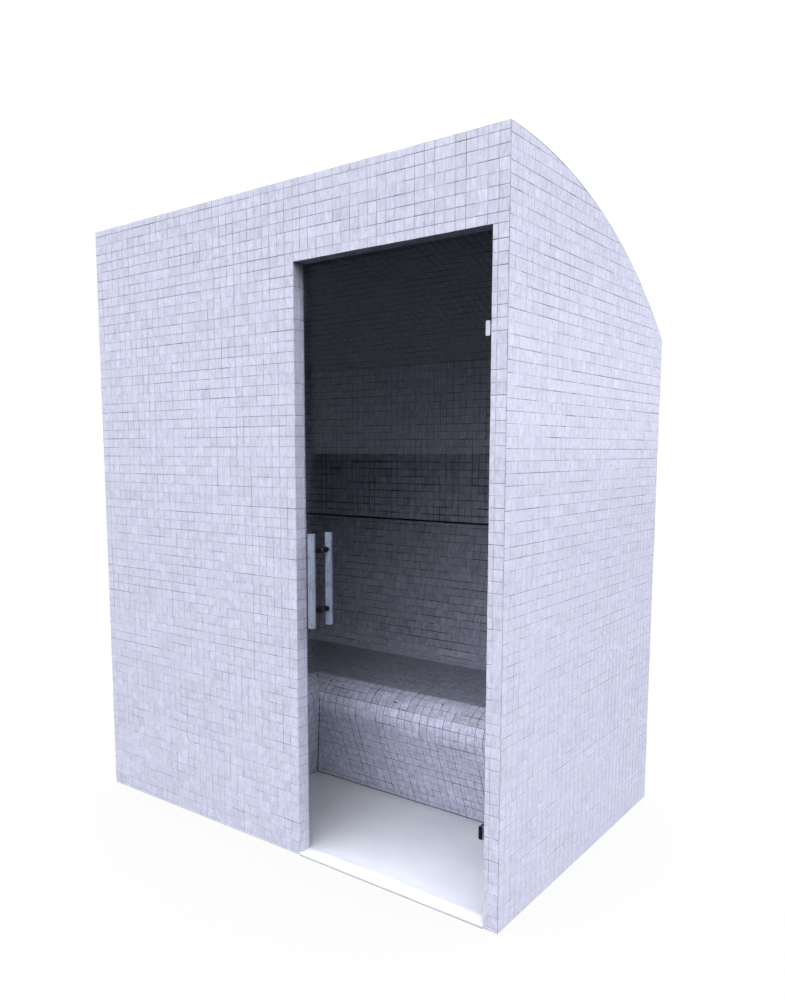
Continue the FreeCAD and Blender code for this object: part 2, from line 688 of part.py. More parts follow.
def build_bench(side):
    run = BENCH_RUNS[side]
    face = bench_profile("0")
    core = bench_profile("Dims.mosaic")
    bench = bench_piece(
        f"{side}_bench_core",
        run,
        [core["wall_foot"], core["foot"], core["riser"], core["seat"], core["wall_seat"]],
        {2: (core["radius"], COUNTER_CLOCKWISE)},
    )
    backrest = bench_piece(
        f"{side}_backrest_core",
        run,
        [core["wall_seat"], core["corner"], core["top"], core["wall_top"]],
        {},
    )
    hollow_start, hollow_end = coving_points(face["corner"])
    skin = bench_piece(
        f"{side}_bench_mosaic",
        run,
        [
            face["foot"],
            face["riser"],
            face["seat"],
            hollow_start,
            hollow_end,
            face["top"],
            face["wall_top"],
            core["wall_top"],
            core["top"],
            core["corner"],
            core["seat"],
            core["riser"],
            core["foot"],
        ],
        {
            1: (face["radius"], COUNTER_CLOCKWISE),
            3: ("Dims.coving_radius", CLOCKWISE),
            10: (core["radius"], CLOCKWISE),
        },
    )
    if side == "left":
        cut_through(bench, "YZ_Plane", circles=[steam_hole()])
        cut_through(skin, "YZ_Plane", circles=[steam_hole()])
    keep(f"{side}_bench_core", bench)
    keep(f"{side}_backrest_core", backrest)
    keep(f"{side}_bench_mosaic", skin)


# Steam supply, temperature probe and drain.
def riser_place(height):
    """Where the tiled front of the left bench stands at a height."""
    riser = bench_profile("0")["riser"]
    return f"(-{X_ROOM} + {riser[0]} - ({riser[1]} - ({height})) * tan(Dims.front_rake))"


def build_steam_supply():
    at_riser = riser_place("Dims.steam_height")
    ring_front = f"({at_riser} + Dims.escutcheon_front)"
    pipe_end = f"({ring_front} + Dims.pipe_in_head)"
    start = (f"-{HALF_X}", STEAM_Y, "Dims.steam_height")
    length = f"{pipe_end} + {HALF_X}"
    pipe = cut(
        cylinder(start, "X", "Dims.pipe_radius", length),
        [cylinder(start, "X", "Dims.pipe_bore", length)],
    )
    keep("steam_pipe", pipe)

    ring_back = f"({at_riser} - Dims.escutcheon_radius * tan(Dims.front_rake))"
    circles = [(STEAM_Y, "Dims.steam_height", "Dims.escutcheon_radius"), steam_hole()]
    ring = ring_prism("steam_escutcheon", "YZ_Plane", circles, ring_back, ring_front)
    below = "(Dims.steam_height - 2 * Dims.escutcheon_radius)"
    above = "(Dims.steam_height + 2 * Dims.escutcheon_radius)"
    behind = f"({riser_place(below)} - Dims.escutcheon_radius)"
    wedge = [(behind, below), (riser_place(below), below), (riser_place(above), above), (behind, above)]
    cut_through(ring, "XZ_Plane", points=wedge)
    keep("steam_escutcheon", ring)

    inside = "(Dims.head_radius - Dims.head_wall)"
    end_inside = "(Dims.head_length - Dims.head_wall)"
    collar = "(Dims.pipe_radius + Dims.pipe_clearance)"
    shoulder = "(Dims.head_length - Dims.head_round)"
    points = [
        ("0", collar),
        ("0", "Dims.head_radius"),
        (shoulder, "Dims.head_radius"),
        ("Dims.head_length", "Dims.head_radius - Dims.head_round"),
        ("Dims.head_length", "0"),
        (end_inside, "0"),
        (end_inside, "Dims.head_radius - Dims.head_round"),
        (shoulder, inside),
        ("Dims.head_wall", inside),
        ("Dims.head_wall", collar),
    ]
    arcs = {2: ("Dims.head_round", CLOCKWISE), 6: ("Dims.head_round - Dims.head_wall", COUNTER_CLOCKWISE)}
    head = revolve("steam_outlet_head", "X_Axis", points, (ring_front, STEAM_Y, "Dims.steam_height"), arcs)
    slot = rectangle("Dims.head_slot_start", shoulder, "-Dims.head_slot_width / 2", "Dims.head_slot_width / 2")
    cut_through(head, "XY_Plane", points=slot, both_ways=False)
    keep("steam_outlet_head", head)


def build_temperature_probe():
    """Stem in the wall, flange on the tiles and a thin sensing tip."""
    back = f"-({HALF_X} - {X_ROOM})"
    points = [
        (back, "0"),
        (back, "Dims.probe_stem_radius"),
        ("0", "Dims.probe_stem_radius"),
        ("0", "Dims.probe_flange_radius"),
        ("Dims.probe_flange", "Dims.probe_flange_radius"),
        ("Dims.probe_flange", "Dims.probe_neck_radius"),
        ("Dims.probe_neck_end", "Dims.probe_neck_radius"),
        ("Dims.probe_neck_end", "Dims.probe_tip_radius"),
        ("Dims.probe_reach", "Dims.probe_tip_radius"),
        ("Dims.probe_reach", "0"),
    ]
    place = (f"-{X_ROOM}", PROBE_Y, "Dims.probe_height")
    keep("temperature_probe", revolve("temperature_probe", "X_Axis", points, place))


def build_drain():
    ledge = f"({FLOOR} - Dims.grate_thickness - Dims.grate_clearance)"
    seat = "(Dims.grate_radius + Dims.grate_clearance)"
    cup = f"({seat} - Dims.grate_ledge)"
    points = [
        ("Dims.outlet_radius", "0"),
        ("Dims.drain_radius", "0"),
        ("Dims.drain_radius", FLOOR),
        (seat, FLOOR),
        (seat, ledge),
        (cup, ledge),
        (cup, "Dims.drain_floor"),
        ("Dims.outlet_radius", "Dims.drain_floor"),
    ]
    keep("drain_body", revolve("drain_body", "Z_Axis", points, (DRAIN_X, DRAIN_Y, "0")))

    rim = [("0", "0", "Dims.grate_radius")]
    grate = ring_prism("drain_grate", "XY_Plane", rim, "0", "Dims.grate_thickness")
    put(grate, (DRAIN_X, DRAIN_Y, ledge))
    half = "Dims.grate_slot_width / 2"
    slot = rectangle("Dims.grate_slot_start", "Dims.grate_slot_end", f"-{half}", half)
    pocket = cut_through(grate, "XY_Plane", points=slot)
    pattern = grate.newObject("PartDesign::PolarPattern", "drain_grate_slots")
    pattern.Originals = [pocket]
    pattern.Axis = (origin(grate, "Z_Axis"), [""])
    pattern.Angle = 360
    pattern.setExpression("Occurrences", "Dims.grate_slots")
    grate.Tip = pattern
    keep("drain_grate", grate)


# Glass door with its hinges, handle and seals.
LEAF_HALF = "(Dims.wall_knuckle / 2 + Dims.knuckle_gap + Dims.door_knuckle)"


def notch(middle):
    """Outline of one hinge notch in the hinge edge of the glass, from below to above."""
    half = f"({LEAF_HALF} + Dims.notch_clearance)"
    back = f"({X_HINGE} - Dims.leaf_reach - Dims.notch_clearance)"
    low = f"({middle} - {half})"
    high = f"({middle} + {half})"
    return [
        (X_GLASS_RIGHT, low),
        (f"{back} + Dims.notch_corner", low),
        (back, f"{low} + Dims.notch_corner"),
        (back, f"{high} - Dims.notch_corner"),
        (f"{back} + Dims.notch_corner", high),
        (X_GLASS_RIGHT, high),
    ]


def handle_post_places():
    x = f"({X_GLASS_LEFT} + Dims.handle_inset)"
    return [(x, f"(Dims.handle_height {sign} Dims.post_pitch / 2)") for sign in "-+"]


def build_door_glass():
    points = [(X_GLASS_LEFT, Z_GLASS_LOW), (X_GLASS_RIGHT, Z_GLASS_LOW)]
    arcs = {}
    for middle in (HINGES["lower"], HINGES["upper"]):
        first = len(points)
        points += notch(middle)
        arcs[first + 1] = ("Dims.notch_corner", CLOCKWISE)
        arcs[first + 3] = ("Dims.notch_corner", CLOCKWISE)
    points += [(X_GLASS_RIGHT, Z_GLASS_TOP), (X_GLASS_LEFT, Z_GLASS_TOP)]
    half = "Dims.glass / 2"
    glass = prism("door_glass", "XZ_Plane", points, f"{Y_GLASS} - {half}", f"{Y_GLASS} + {half}", arcs)
    cut_through(glass, "XZ_Plane", circles=[(x, z, "Dims.glass_hole") for x, z in handle_post_places()])
    keep("door_glass", glass)


def clamp_screw_places(middle):
    x = f"({X_HINGE} - Dims.clamp_screw_inset)"
    return [(x, f"({middle} {sign} Dims.clamp_screw_pitch / 2)") for sign in "-+"]


def build_hinge_wall_plate(name, middle):
    """Wall plate, set off to the room side of the axis, with a neck and one knuckle."""
    near = f"({Y_GLASS} - Dims.hinge_neck / 2)"
    face = f"({X_ROOM} - Dims.hinge_plate)"
    half = "Dims.hinge_height / 2"
    sides = (near, f"{near} + Dims.hinge_plate_width", f"{middle} - {half}", f"{middle} + {half}")
    plate = rounded_plate(f"{name}_plate", "YZ_Plane", sides, "Dims.hinge_corner", face, X_ROOM)
    low = f"({middle} - Dims.wall_knuckle / 2)"
    neck = box((X_HINGE, near, low), (face, f"{near} + Dims.hinge_neck", f"{low} + Dims.wall_knuckle"))
    axis_low = (X_HINGE, Y_GLASS, low)
    knuckle = cylinder(axis_low, "Z", "Dims.knuckle_radius", "Dims.wall_knuckle")
    holes = [cylinder(axis_low, "Z", "Dims.pin_radius + Dims.pin_running", "Dims.wall_knuckle")]
    for y, z in wall_screw_places(middle):
        hole = "Dims.screw_radius + Dims.screw_clearance"
        holes.append(cylinder((face, y, z), "X", hole, "Dims.hinge_plate"))
        sink = "Dims.screw_head_radius + Dims.screw_clearance"
        holes.append(cylinder((face, y, z), "X", sink, "Dims.screw_head"))
    keep(name, cut(fuse([plate, neck, knuckle]), holes))


def build_hinge_leaf(name, middle):
    """Door leaf of the hinge: a plate in the glass notch with a knuckle at each end of the pin."""
    y_low = f"({Y_GLASS} - Dims.glass / 2 - Dims.gasket)"
    y_high = f"({Y_GLASS} + Dims.glass / 2 + Dims.gasket)"
    near = f"({X_HINGE} - Dims.leaf_inset)"
    low = f"({middle} - {LEAF_HALF})"
    high = f"({middle} + {LEAF_HALF})"
    solids = [box((f"{X_HINGE} - Dims.leaf_reach", y_low, low), (near, y_high, high))]
    neck = "Dims.hinge_neck / 2"
    for start in (low, f"({high} - Dims.door_knuckle)"):
        end = f"{start} + Dims.door_knuckle"
        solids.append(box((near, f"{Y_GLASS} - {neck}", start), (X_HINGE, f"{Y_GLASS} + {neck}", end)))
        solids.append(cylinder((X_HINGE, Y_GLASS, start), "Z", "Dims.knuckle_radius", "Dims.door_knuckle"))
    holes = [cylinder((X_HINGE, Y_GLASS, low), "Z", "Dims.pin_radius + Dims.pin_seat", f"2 * {LEAF_HALF}")]
    for x, z in clamp_screw_places(middle):
        hole = "Dims.screw_radius + Dims.screw_clearance"
        holes.append(cylinder((x, y_low, z), "Y", hole, f"{y_high} - {y_low}"))
    keep(name, cut(fuse(solids), holes))


def clamp_sides(middle):
    half = "Dims.hinge_height / 2"
    reach = f"({X_HINGE} - Dims.clamp_reach)"
    inset = f"({X_HINGE} - Dims.clamp_inset)"
    return reach, inset, f"{middle} - {half}", f"{middle} + {half}"


def build_hinge_clamps(prefix, middle):
    """The two clamp plates; the outer one is plain outside, the inner one takes the screws."""
    grip = "(Dims.glass / 2 + Dims.gasket)"
    hole = "Dims.screw_radius + Dims.screw_clearance"
    outer_face = f"({Y_GLASS} - {grip} - Dims.clamp_thickness)"
    outer_back = f"({Y_GLASS} - {grip})"
    outer = rounded_plate(
        f"{prefix}_outer_blank", "XZ_Plane", clamp_sides(middle), "Dims.hinge_corner", outer_face, outer_back
    )
    thread_start = f"{outer_back} - Dims.clamp_screw_end"
    places = clamp_screw_places(middle)
    threads = [cylinder((x, thread_start, z), "Y", hole, "Dims.clamp_screw_end") for x, z in places]
    keep(f"{prefix}_hinge_outer_clamp", cut(outer, threads))

    inner_back = f"({Y_GLASS} + {grip})"
    inner_face = f"({inner_back} + Dims.clamp_thickness)"
    inner = rounded_plate(
        f"{prefix}_inner_blank", "XZ_Plane", clamp_sides(middle), "Dims.hinge_corner", inner_back, inner_face
    )
    holes = []
    for x, z in places:
        holes.append(cylinder((x, inner_back, z), "Y", hole, "Dims.clamp_thickness"))
        sink = "Dims.screw_head_radius + Dims.screw_clearance"
        holes.append(cylinder((x, f"{inner_face} - Dims.screw_head", z), "Y", sink, "Dims.screw_head"))
    keep(f"{prefix}_hinge_inner_clamp", cut(inner, holes))


def hinge_gaskets(prefix, middle):
    """A U-shaped gasket on each face of the glass, round the notch."""
    left, right, bottom, top = clamp_sides(middle)
    half = f"({LEAF_HALF} + Dims.notch_clearance)"
    notch_back = f"({X_HINGE} - Dims.leaf_reach - Dims.notch_clearance)"
    points = [
        (left, bottom),
        (right, bottom),
        (right, f"{middle} - {half}"),
        (notch_back, f"{middle} - {half}"),
        (notch_back, f"{middle} + {half}"),
        (right, f"{middle} + {half}"),
        (right, top),
        (left, top),
    ]
    half_glass = "Dims.glass / 2"
    outer = (f"{Y_GLASS} - {half_glass} - Dims.gasket", f"{Y_GLASS} - {half_glass}")
    inner = (f"{Y_GLASS} + {half_glass}", f"{Y_GLASS} + {half_glass} + Dims.gasket")
    return [
        prism(f"{prefix}_outer_gasket", "XZ_Plane", points, *outer),
        prism(f"{prefix}_inner_gasket", "XZ_Plane", points, *inner),
    ]


def hinge_pin(middle):
    return cylinder((X_HINGE, Y_GLASS, f"{middle} - {LEAF_HALF}"), "Z", "Dims.pin_radius", f"2 * {LEAF_HALF}")


def clamp_screw(x, z):
    """Screw from the inner clamp through the leaf into the outer clamp."""
    grip = "(Dims.glass / 2 + Dims.gasket)"
    end = f"({Y_GLASS} - {grip} - Dims.clamp_screw_end)"
    face = f"({Y_GLASS} + {grip} + Dims.clamp_thickness)"
    shank = cylinder((x, end, z), "Y", "Dims.screw_radius", f"{face} - {end}")
    head = cylinder((x, f"{face} - Dims.screw_head", z), "Y", "Dims.screw_head_radius", "Dims.screw_head")
    return fuse([shank, head])


def wall_screw(y, z):
    """Screw through the wall plate and the tiles into the wall board."""
    face = f"({X_ROOM} - Dims.hinge_plate)"
    shank = cylinder((face, y, z), "X", "Dims.screw_radius", "Dims.screw_head + Dims.wall_screw_length")
    head = cylinder((face, y, z), "X", "Dims.screw_head_radius", "Dims.screw_head")
    return fuse([shank, head])


def build_hinges():
    gaskets = []
    pins = []
    clamp_screws = []
    wall_screws = []
    for prefix, middle in HINGES.items():
        build_hinge_wall_plate(f"{prefix}_hinge_wall_plate", middle)
        build_hinge_leaf(f"{prefix}_hinge_leaf", middle)
        build_hinge_clamps(prefix, middle)
        gaskets += hinge_gaskets(prefix, middle)
        pins.append(hinge_pin(middle))
        clamp_screws += [clamp_screw(x, z) for x, z in clamp_screw_places(middle)]
        wall_screws += [wall_screw(y, z) for y, z in wall_screw_places(middle)]
    keep("hinge_gaskets", group(gaskets))
    keep("hinge_pins", group(pins))
    keep("hinge_clamp_screws", group(clamp_screws))
    keep("hinge_wall_screws", group(wall_screws))


def bar_end_cap(x, y, end, inward):
    """Flat cap on a bar end, with a plug inside the tube."""
    plug_radius = "Dims.bar_radius - Dims.bar_wall - Dims.cap_clearance"
    height = "Dims.cap_thickness + Dims.cap_plug"
    if inward == "up":
        disc = cylinder((x, y, end), "Z", "Dims.bar_radius", "Dims.cap_thickness")
        plug = cylinder((x, y, end), "Z", plug_radius, height)
    else:
        disc = cylinder((x, y, f"{end} - Dims.cap_thickness"), "Z", "Dims.bar_radius", "Dims.cap_thickness")
        plug = cylinder((x, y, f"{end} - ({height})"), "Z", plug_radius, height)
    return fuse([disc, plug])


def handle_side(sign):
    """Depths on one side of the glass: face, washer, stud end and bar axis; sign is - outside and + inside."""
    face = f"({Y_GLASS} {sign} Dims.glass / 2)"
    return {
        "face": face,
        "washer": f"({face} {sign} Dims.washer)",
        "stud": f"({face} {sign} Dims.stud_reach)",
        "bar": f"({Y_GLASS} {sign} Dims.bar_spacing / 2)",
    }


def across_glass(first, second, sign):
    """Start and length along +Y between two depths."""
    low, high = (second, first) if sign == "-" else (first, second)
    return low, f"{high} - {low}"


def handle_bar(y):
    x = f"({X_GLASS_LEFT} + Dims.handle_inset)"
    low = "(Dims.handle_height - Dims.bar_length / 2)"
    high = "(Dims.handle_height + Dims.bar_length / 2)"
    tube_low = (x, y, f"{low} + Dims.cap_thickness")
    tube_length = "Dims.bar_length - 2 * Dims.cap_thickness"
    tube = cut(
        cylinder(tube_low, "Z", "Dims.bar_radius", tube_length),
        [cylinder(tube_low, "Z", "Dims.bar_radius - Dims.bar_wall", tube_length)],
    )
    caps = [bar_end_cap(x, y, low, "up"), bar_end_cap(x, y, high, "down")]
    return tube, caps


def handle_posts(sign):
    """Posts of one side, saddled on the bar and drilled for the studs."""
    side = handle_side(sign)
    posts = []
    washers = []
    for x, z in handle_post_places():
        start, length = across_glass(side["washer"], side["bar"], sign)
        blank = cylinder((x, start, z), "Y", "Dims.post_radius", length)
        saddle_low = (x, side["bar"], f"{z} - Dims.bar_radius")
        saddle = cylinder(saddle_low, "Z", "Dims.bar_radius + Dims.post_seat", "2 * Dims.bar_radius")
        start, length = across_glass(side["washer"], side["stud"], sign)
        drilled = cylinder((x, start, z), "Y", "Dims.stud_radius + Dims.stud_clearance", length)
        posts.append(cut(blank, [saddle, drilled]))
        start, length = across_glass(side["face"], side["washer"], sign)
        hole = cylinder((x, start, z), "Y", "Dims.stud_radius + Dims.stud_clearance", length)
        washers.append(cut(cylinder((x, start, z), "Y", "Dims.washer_radius", length), [hole]))
    return posts, washers


def build_handle():
    caps = []
    washers = []
    for name, sign in (("outer", "-"), ("inner", "+")):
        tube, bar_caps = handle_bar(handle_side(sign)["bar"])
        keep(f"{name}_handle_bar", tube)
        posts, post_washers = handle_posts(sign)
        keep(f"{name}_handle_posts", group(posts))
        caps += bar_caps
        washers += post_washers
    keep("handle_end_caps", group(caps))
    keep("handle_washers", group(washers))
    start = handle_side("-")["stud"]
    length = f"{handle_side('+')['stud']} - {start}"
    studs = [cylinder((x, start, z), "Y", "Dims.stud_radius", length) for x, z in handle_post_places()]
    keep("handle_studs", group(studs))


def seal_profile(edge, inward, tip):
    """Clip round a glass edge with a fin to the surface it seals on: places along and across the glass."""
    outward = "-" if inward == "+" else "+"
    groove = f"({edge} {outward} Dims.seal_clearance)"
    web = f"({groove} {outward} Dims.seal_wall)"
    lip = f"({edge} {inward} Dims.seal_grip)"
    inside = "(Dims.glass / 2 + Dims.seal_clearance)"
    outside = f"({inside} + Dims.seal_wall)"
    fin = "(Dims.seal_fin / 2)"
    half = [(tip, fin), (web, fin), (web, outside), (lip, outside), (lip, inside), (groove, inside)]
    near = [(along, f"({Y_GLASS} - {across})") for along, across in half]
    far = [(along, f"({Y_GLASS} + {across})") for along, across in half]
    return near + far[::-1]


def build_seals():
    """Clear profiles pushed on the edges of the glass; on the hinge side they stop at the clamps."""
    bottom = [(across, along) for along, across in seal_profile(Z_GLASS_LOW, "+", f"({FLOOR} + Dims.seal_gap)")]
    keep("door_bottom_seal", prism("door_bottom_seal", "YZ_Plane", bottom, X_GLASS_LEFT, X_GLASS_RIGHT))
    start = f"({Z_GLASS_LOW} + Dims.seal_grip + Dims.seal_clearance)"
    latch = seal_profile(X_GLASS_LEFT, "+", f"({X_LATCH} + Dims.seal_gap)")
    keep("door_latch_seal", prism("door_latch_seal", "XY_Plane", latch, start, Z_GLASS_TOP))
    hinge = seal_profile(X_GLASS_RIGHT, "-", f"({X_ROOM} - Dims.seal_gap)")
    clear = "(Dims.hinge_height / 2 + Dims.knuckle_gap)"
    spans = [
        (start, f"({HINGES['lower']} - {clear})"),
        (f"({HINGES['lower']} + {clear})", f"({HINGES['upper']} - {clear})"),
        (f"({HINGES['upper']} + {clear})", Z_GLASS_TOP),
    ]
    runs = [prism(f"hinge_seal_{number}", "XY_Plane", hinge, *ends) for number, ends in enumerate(spans)]
    keep("door_hinge_seal", group(runs))


def check_model():
    """Stops on a failed object or a bad shape before anything is written."""
    for item in doc.Objects:
        if "Invalid" in item.State or "Error" in item.State:
            raise RuntimeError(f"{item.Label} failed: {item.State}")
    for piece in subparts:
        if piece.Shape.isNull() or not piece.Shape.isValid() or not piece.Shape.Solids:
            raise RuntimeError(f"{piece.Label} has no valid solid")


build_tray()
build_panels()
build_outer_mosaics()
build_doorway_mosaics()
build_inner_mosaics()
build_bench("back")
build_bench("left")
build_steam_supply()
build_temperature_probe()
build_drain()
build_door_glass()
build_hinges()
build_handle()
build_seals()
doc.recompute()
check_model()

os.makedirs("parts", exist_ok=True)
for piece in subparts:
    piece.Shape.exportStep(f"parts/{piece.Label}.step")
    print(f"{piece.Label}: {len(piece.Shape.Solids)} solids, {piece.Shape.Volume / 1000:.1f} cm3")
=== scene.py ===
import json
import math

import bpy
import numpy as np
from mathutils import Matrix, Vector
from mathutils.geometry import tessellate_polygon


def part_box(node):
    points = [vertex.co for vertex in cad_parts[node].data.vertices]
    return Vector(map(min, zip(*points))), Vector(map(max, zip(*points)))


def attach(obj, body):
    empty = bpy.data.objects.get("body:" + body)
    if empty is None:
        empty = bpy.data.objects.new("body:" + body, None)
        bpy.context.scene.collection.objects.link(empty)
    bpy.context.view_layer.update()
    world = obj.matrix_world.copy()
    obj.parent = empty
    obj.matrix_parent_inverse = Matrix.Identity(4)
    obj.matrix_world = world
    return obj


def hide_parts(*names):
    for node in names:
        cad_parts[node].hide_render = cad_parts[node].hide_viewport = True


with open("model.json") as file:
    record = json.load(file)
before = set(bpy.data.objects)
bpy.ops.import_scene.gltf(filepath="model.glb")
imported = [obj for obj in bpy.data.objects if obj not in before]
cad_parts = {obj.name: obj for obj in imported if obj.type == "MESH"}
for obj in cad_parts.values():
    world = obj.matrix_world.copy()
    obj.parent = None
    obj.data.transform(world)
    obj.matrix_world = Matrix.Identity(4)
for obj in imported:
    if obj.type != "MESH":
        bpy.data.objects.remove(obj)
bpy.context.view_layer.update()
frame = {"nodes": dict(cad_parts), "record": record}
nodes = frame["nodes"]
scene = bpy.context.scene
rng = np.random.default_rng(11)

X = np.array((1.0, 0.0, 0.0))
Y = np.array((0.0, 1.0, 0.0))
Z = np.array((0.0, 0.0, 1.0))

# Tiles, in metres: nine to a 300 mm sheet
PITCH = 0.1 / 3
SLIVER = 0.25  # share of a tile below which a cut one joins its neighbour
FRONT_GAP = (0.00052, 0.00042)  # mean distance of a tile from its level and upright joints
OUTSIDE_GAP = (0.00052, 0.00030)  # the same on the other outer walls
ROOM_GAP = (0.00076, 0.00034)  # in the room
WALL_GAP = (0.00110, 0.00080)  # on its rear wall and vault
BENCH_GAP = (0.00062, 0.00056)  # and on the bench front
GAP_SPREAD = 0.5
GAP_DRIFT = 0.6  # how far a gap follows the one before it along a joint
GAP_LEAST = 0.00004
GAP_MOST = 2.2  # times the mean
CORNER_BACK = 0.0013  # where tiles stop short of an outer corner
SHADOW_JOINT = 0.005  # open joint under the vault and over the backrest; its dark grout paints a shadow line
FOOT_JOINT = 0.003  # open joint at the foot of the bench; its dark grout paints a shadow line
CORNER_JOINT = 0.0014  # where the tiles of the bench front stop short of the inner corner; the dark grout paints a shadow line there
RISE = 0.0007  # tile face over the grout
BURIED = 0.0003  # tile foot in the grout
ARRIS = 0.00045  # softened tile edge
SUNK = (0.00012, 0.00034)  # tile face under the finished plane
LEAN = 0.006  # tilt of a tile
TONE_SPREAD = 0.18  # of the tiles' tones, which run from 0 to 1
SMALLEST = 2e-5  # smallest cut piece that is laid, in square metres
NARROWEST = 4 * ARRIS  # and its smallest width
TOUCHING = 2e-4  # corners closer than this are one
NEARLY_STRAIGHT = 0.2  # sine of a turn that counts as none
SPIKE = 2.5  # times the inset that a corner may move
HOLE_WALK = 48  # steps along a tile's side in search of a hole
HOLE_SIDES = 24
BITE_POINTS = 7
LEVEL_SIDE = 1e-9  # rise of a side that counts as none
END_SHARE = 1e-6  # share of a side that counts as its end
BAND_SLACK = 1e-7  # by which a band takes points beyond its levels
SKIN = 0.0045  # grout bed and tile together
LAP = 0.0014  # where tiles of one face lap over the edge of the next
TILE, GROUT, ROOM_TILE, DEEP_SHADE_TILE = 0, 1, 2, 3  # material places of a piece; in the room the tile places hold painted-light and painted-shade copies of the glaze

# Cabin shapes that the boxes of its pieces don't give
ROOF_RADIUS = 1.854
ROOF_BUILD = 0.050
FRONT_ROWS = 0.0125
SIDE_ROWS = 0.0045
BENCH_NOSE_REACH = 0.583
BENCH_NOSE_RADIUS = 0.100
BENCH_SEAT_HEIGHT = 0.457
BENCH_SEAT_FALL = math.radians(1.5)
NOSE_ROWS = 3  # under the seat, in the darker room glaze: painted shade where the nose turns towards the seat
BENCH_FRONT_RAKE = math.radians(21)
BACKREST_LEDGE = 0.015
BACKREST_RECLINE = math.radians(9)
COVING_RADIUS = 0.060
NOSE_POINTS = 26
COVING_POINTS = 20
VAULT_POINTS = 49
STEAM_PIPE_HOLE = 0.0147
PROBE_HOLE = 0.0064


def span(node, axis):
    """The lowest and highest coordinate of a CAD node along an axis."""
    low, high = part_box(node)
    return low["XYZ".index(axis)], high["XYZ".index(axis)]


HALF_WIDTH = span("front_outer_mosaic", "X")[1]
HALF_DEPTH = span("rear_outer_mosaic", "Y")[1]
FOOT, FRONT_TOP = span("front_outer_mosaic", "Z")
ROOM_RIGHT = span("right_inner_mosaic", "X")[0]
ROOM_BACK = span("back_inner_mosaic", "Y")[0]
FLOOR = span("floor_tray", "Z")[1]
DOOR_LEFT = span("doorway_jamb_mosaic", "X")[1]
DOOR_RIGHT = ROOM_RIGHT
DOOR_TOP = span("doorway_soffit_mosaic", "Z")[0]
BACKREST_TOP = span("back_inner_mosaic", "Z")[0]
ROOF_CENTRE = (-HALF_DEPTH, FRONT_TOP - ROOF_RADIUS)
CEILING_RADIUS = ROOF_RADIUS - ROOF_BUILD


def arc_height(radius, y):
    """Height of the roof arc of a radius at depth y."""
    return ROOF_CENTRE[1] + math.sqrt(radius**2 - (y - ROOF_CENTRE[0]) ** 2)


class Plane:
    """A flat tile field: u along it, v up it, h out of it."""

    def __init__(self, along, up, offset):
        self.along = along
        self.up = up
        self.out = np.cross(along, up)
        self.base = self.out * offset

    def place(self, u, v, h):
        return self.base + np.outer(u, self.along) + np.outer(v, self.up) + np.outer(h, self.out)

    def strips(self, low, high):
        return 1


class Swept:
    """A tile field over a profile of runs and arcs that is carried along u."""

    BEND = math.radians(11)

    def __init__(self, along, points, outs):
        self.along = along
        self.points = np.array(points)
        self.outs = np.array(outs)
        steps = np.linalg.norm(np.diff(self.points, axis=0), axis=1)
        self.lengths = np.concatenate(((0.0,), np.cumsum(steps)))

    def read(self, table, v):
        return np.stack([np.interp(v, self.lengths, table[:, k]) for k in range(3)], axis=-1)

    def place(self, u, v, h):
        out = self.read(self.outs, v)
        out /= np.linalg.norm(out, axis=1)[:, None]
        return self.read(self.points, v) + np.outer(u, self.along) + out * np.asarray(h)[:, None]

    def strips(self, low, high):
        a, b = self.read(self.outs, np.array((low, high)))
        turn = math.acos(min(1.0, float(a @ b) / float(np.linalg.norm(a) * np.linalg.norm(b))))
        return max(1, math.ceil(turn / self.BEND))


class Build:
    """Faces of one piece, gathered before its mesh is made."""

    def __init__(self):
        self.points = []
        self.faces = []
        self.looks = []
        self.tones = []
        self.count = 0

    def add(self, points, faces, look, tone=0.5):
        self.points.append(points)
        self.faces.extend([tuple(self.count + k for k in face) for face in faces])
        self.looks.extend([look] * len(faces))
        self.tones.extend([tone] * len(faces))
        self.count += len(points)

    def piece(self, name, materials, slot, body, replaced):
        mesh = bpy.data.meshes.new(name)
        mesh.from_pydata(np.concatenate(self.points).tolist(), [], self.faces)
        for surface in materials:
            mesh.materials.append(surface)
        mesh.polygons.foreach_set("material_index", self.looks)
        tone = mesh.attributes.new("tone", "FLOAT", "FACE")
        tone.data.foreach_set("value", self.tones)
        mesh.update()
        made = bpy.data.objects.new(name, mesh)
        scene.collection.objects.link(made)
        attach(made, body)
        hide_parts(*replaced)
        return made


def inset(polygon, distances):
    """A polygon with each side moved inwards by its own distance."""
    ahead = np.roll(polygon, -1, axis=0) - polygon
    ahead = ahead / np.linalg.norm(ahead, axis=1)[:, None]
    inward = np.stack((-ahead[:, 1], ahead[:, 0]), axis=1)
    start = polygon + inward * distances[:, None]
    before = np.roll(ahead, 1, axis=0)
    behind = np.roll(start, 1, axis=0)
    gap = start - behind
    turn = before[:, 0] * ahead[:, 1] - before[:, 1] * ahead[:, 0]
    straight = np.abs(turn) < NEARLY_STRAIGHT
    reach = (gap[:, 0] * ahead[:, 1] - gap[:, 1] * ahead[:, 0]) / np.where(straight, 1.0, turn)
    moved = np.where(straight[:, None], start, behind + before * reach[:, None])
    far = np.hypot(*(moved - polygon).T) > SPIKE * distances.max()
    return np.where(far[:, None], start, moved)


def area(polygon):
    """Signed area of a polygon, positive when it runs anticlockwise."""
    u, v = polygon[:, 0], polygon[:, 1]
    return 0.5 * float(np.sum(u * np.roll(v, -1) - v * np.roll(u, -1)))


def tidy(points):
    """A polygon without points that lie on each other."""
    kept = []
    for point in points:
        if not kept or np.hypot(*(point - kept[-1])) > TOUCHING:
            kept.append(point)
    if len(kept) > 1 and np.hypot(*(kept[0] - kept[-1])) <= TOUCHING:
        kept.pop()
    return np.array(kept)


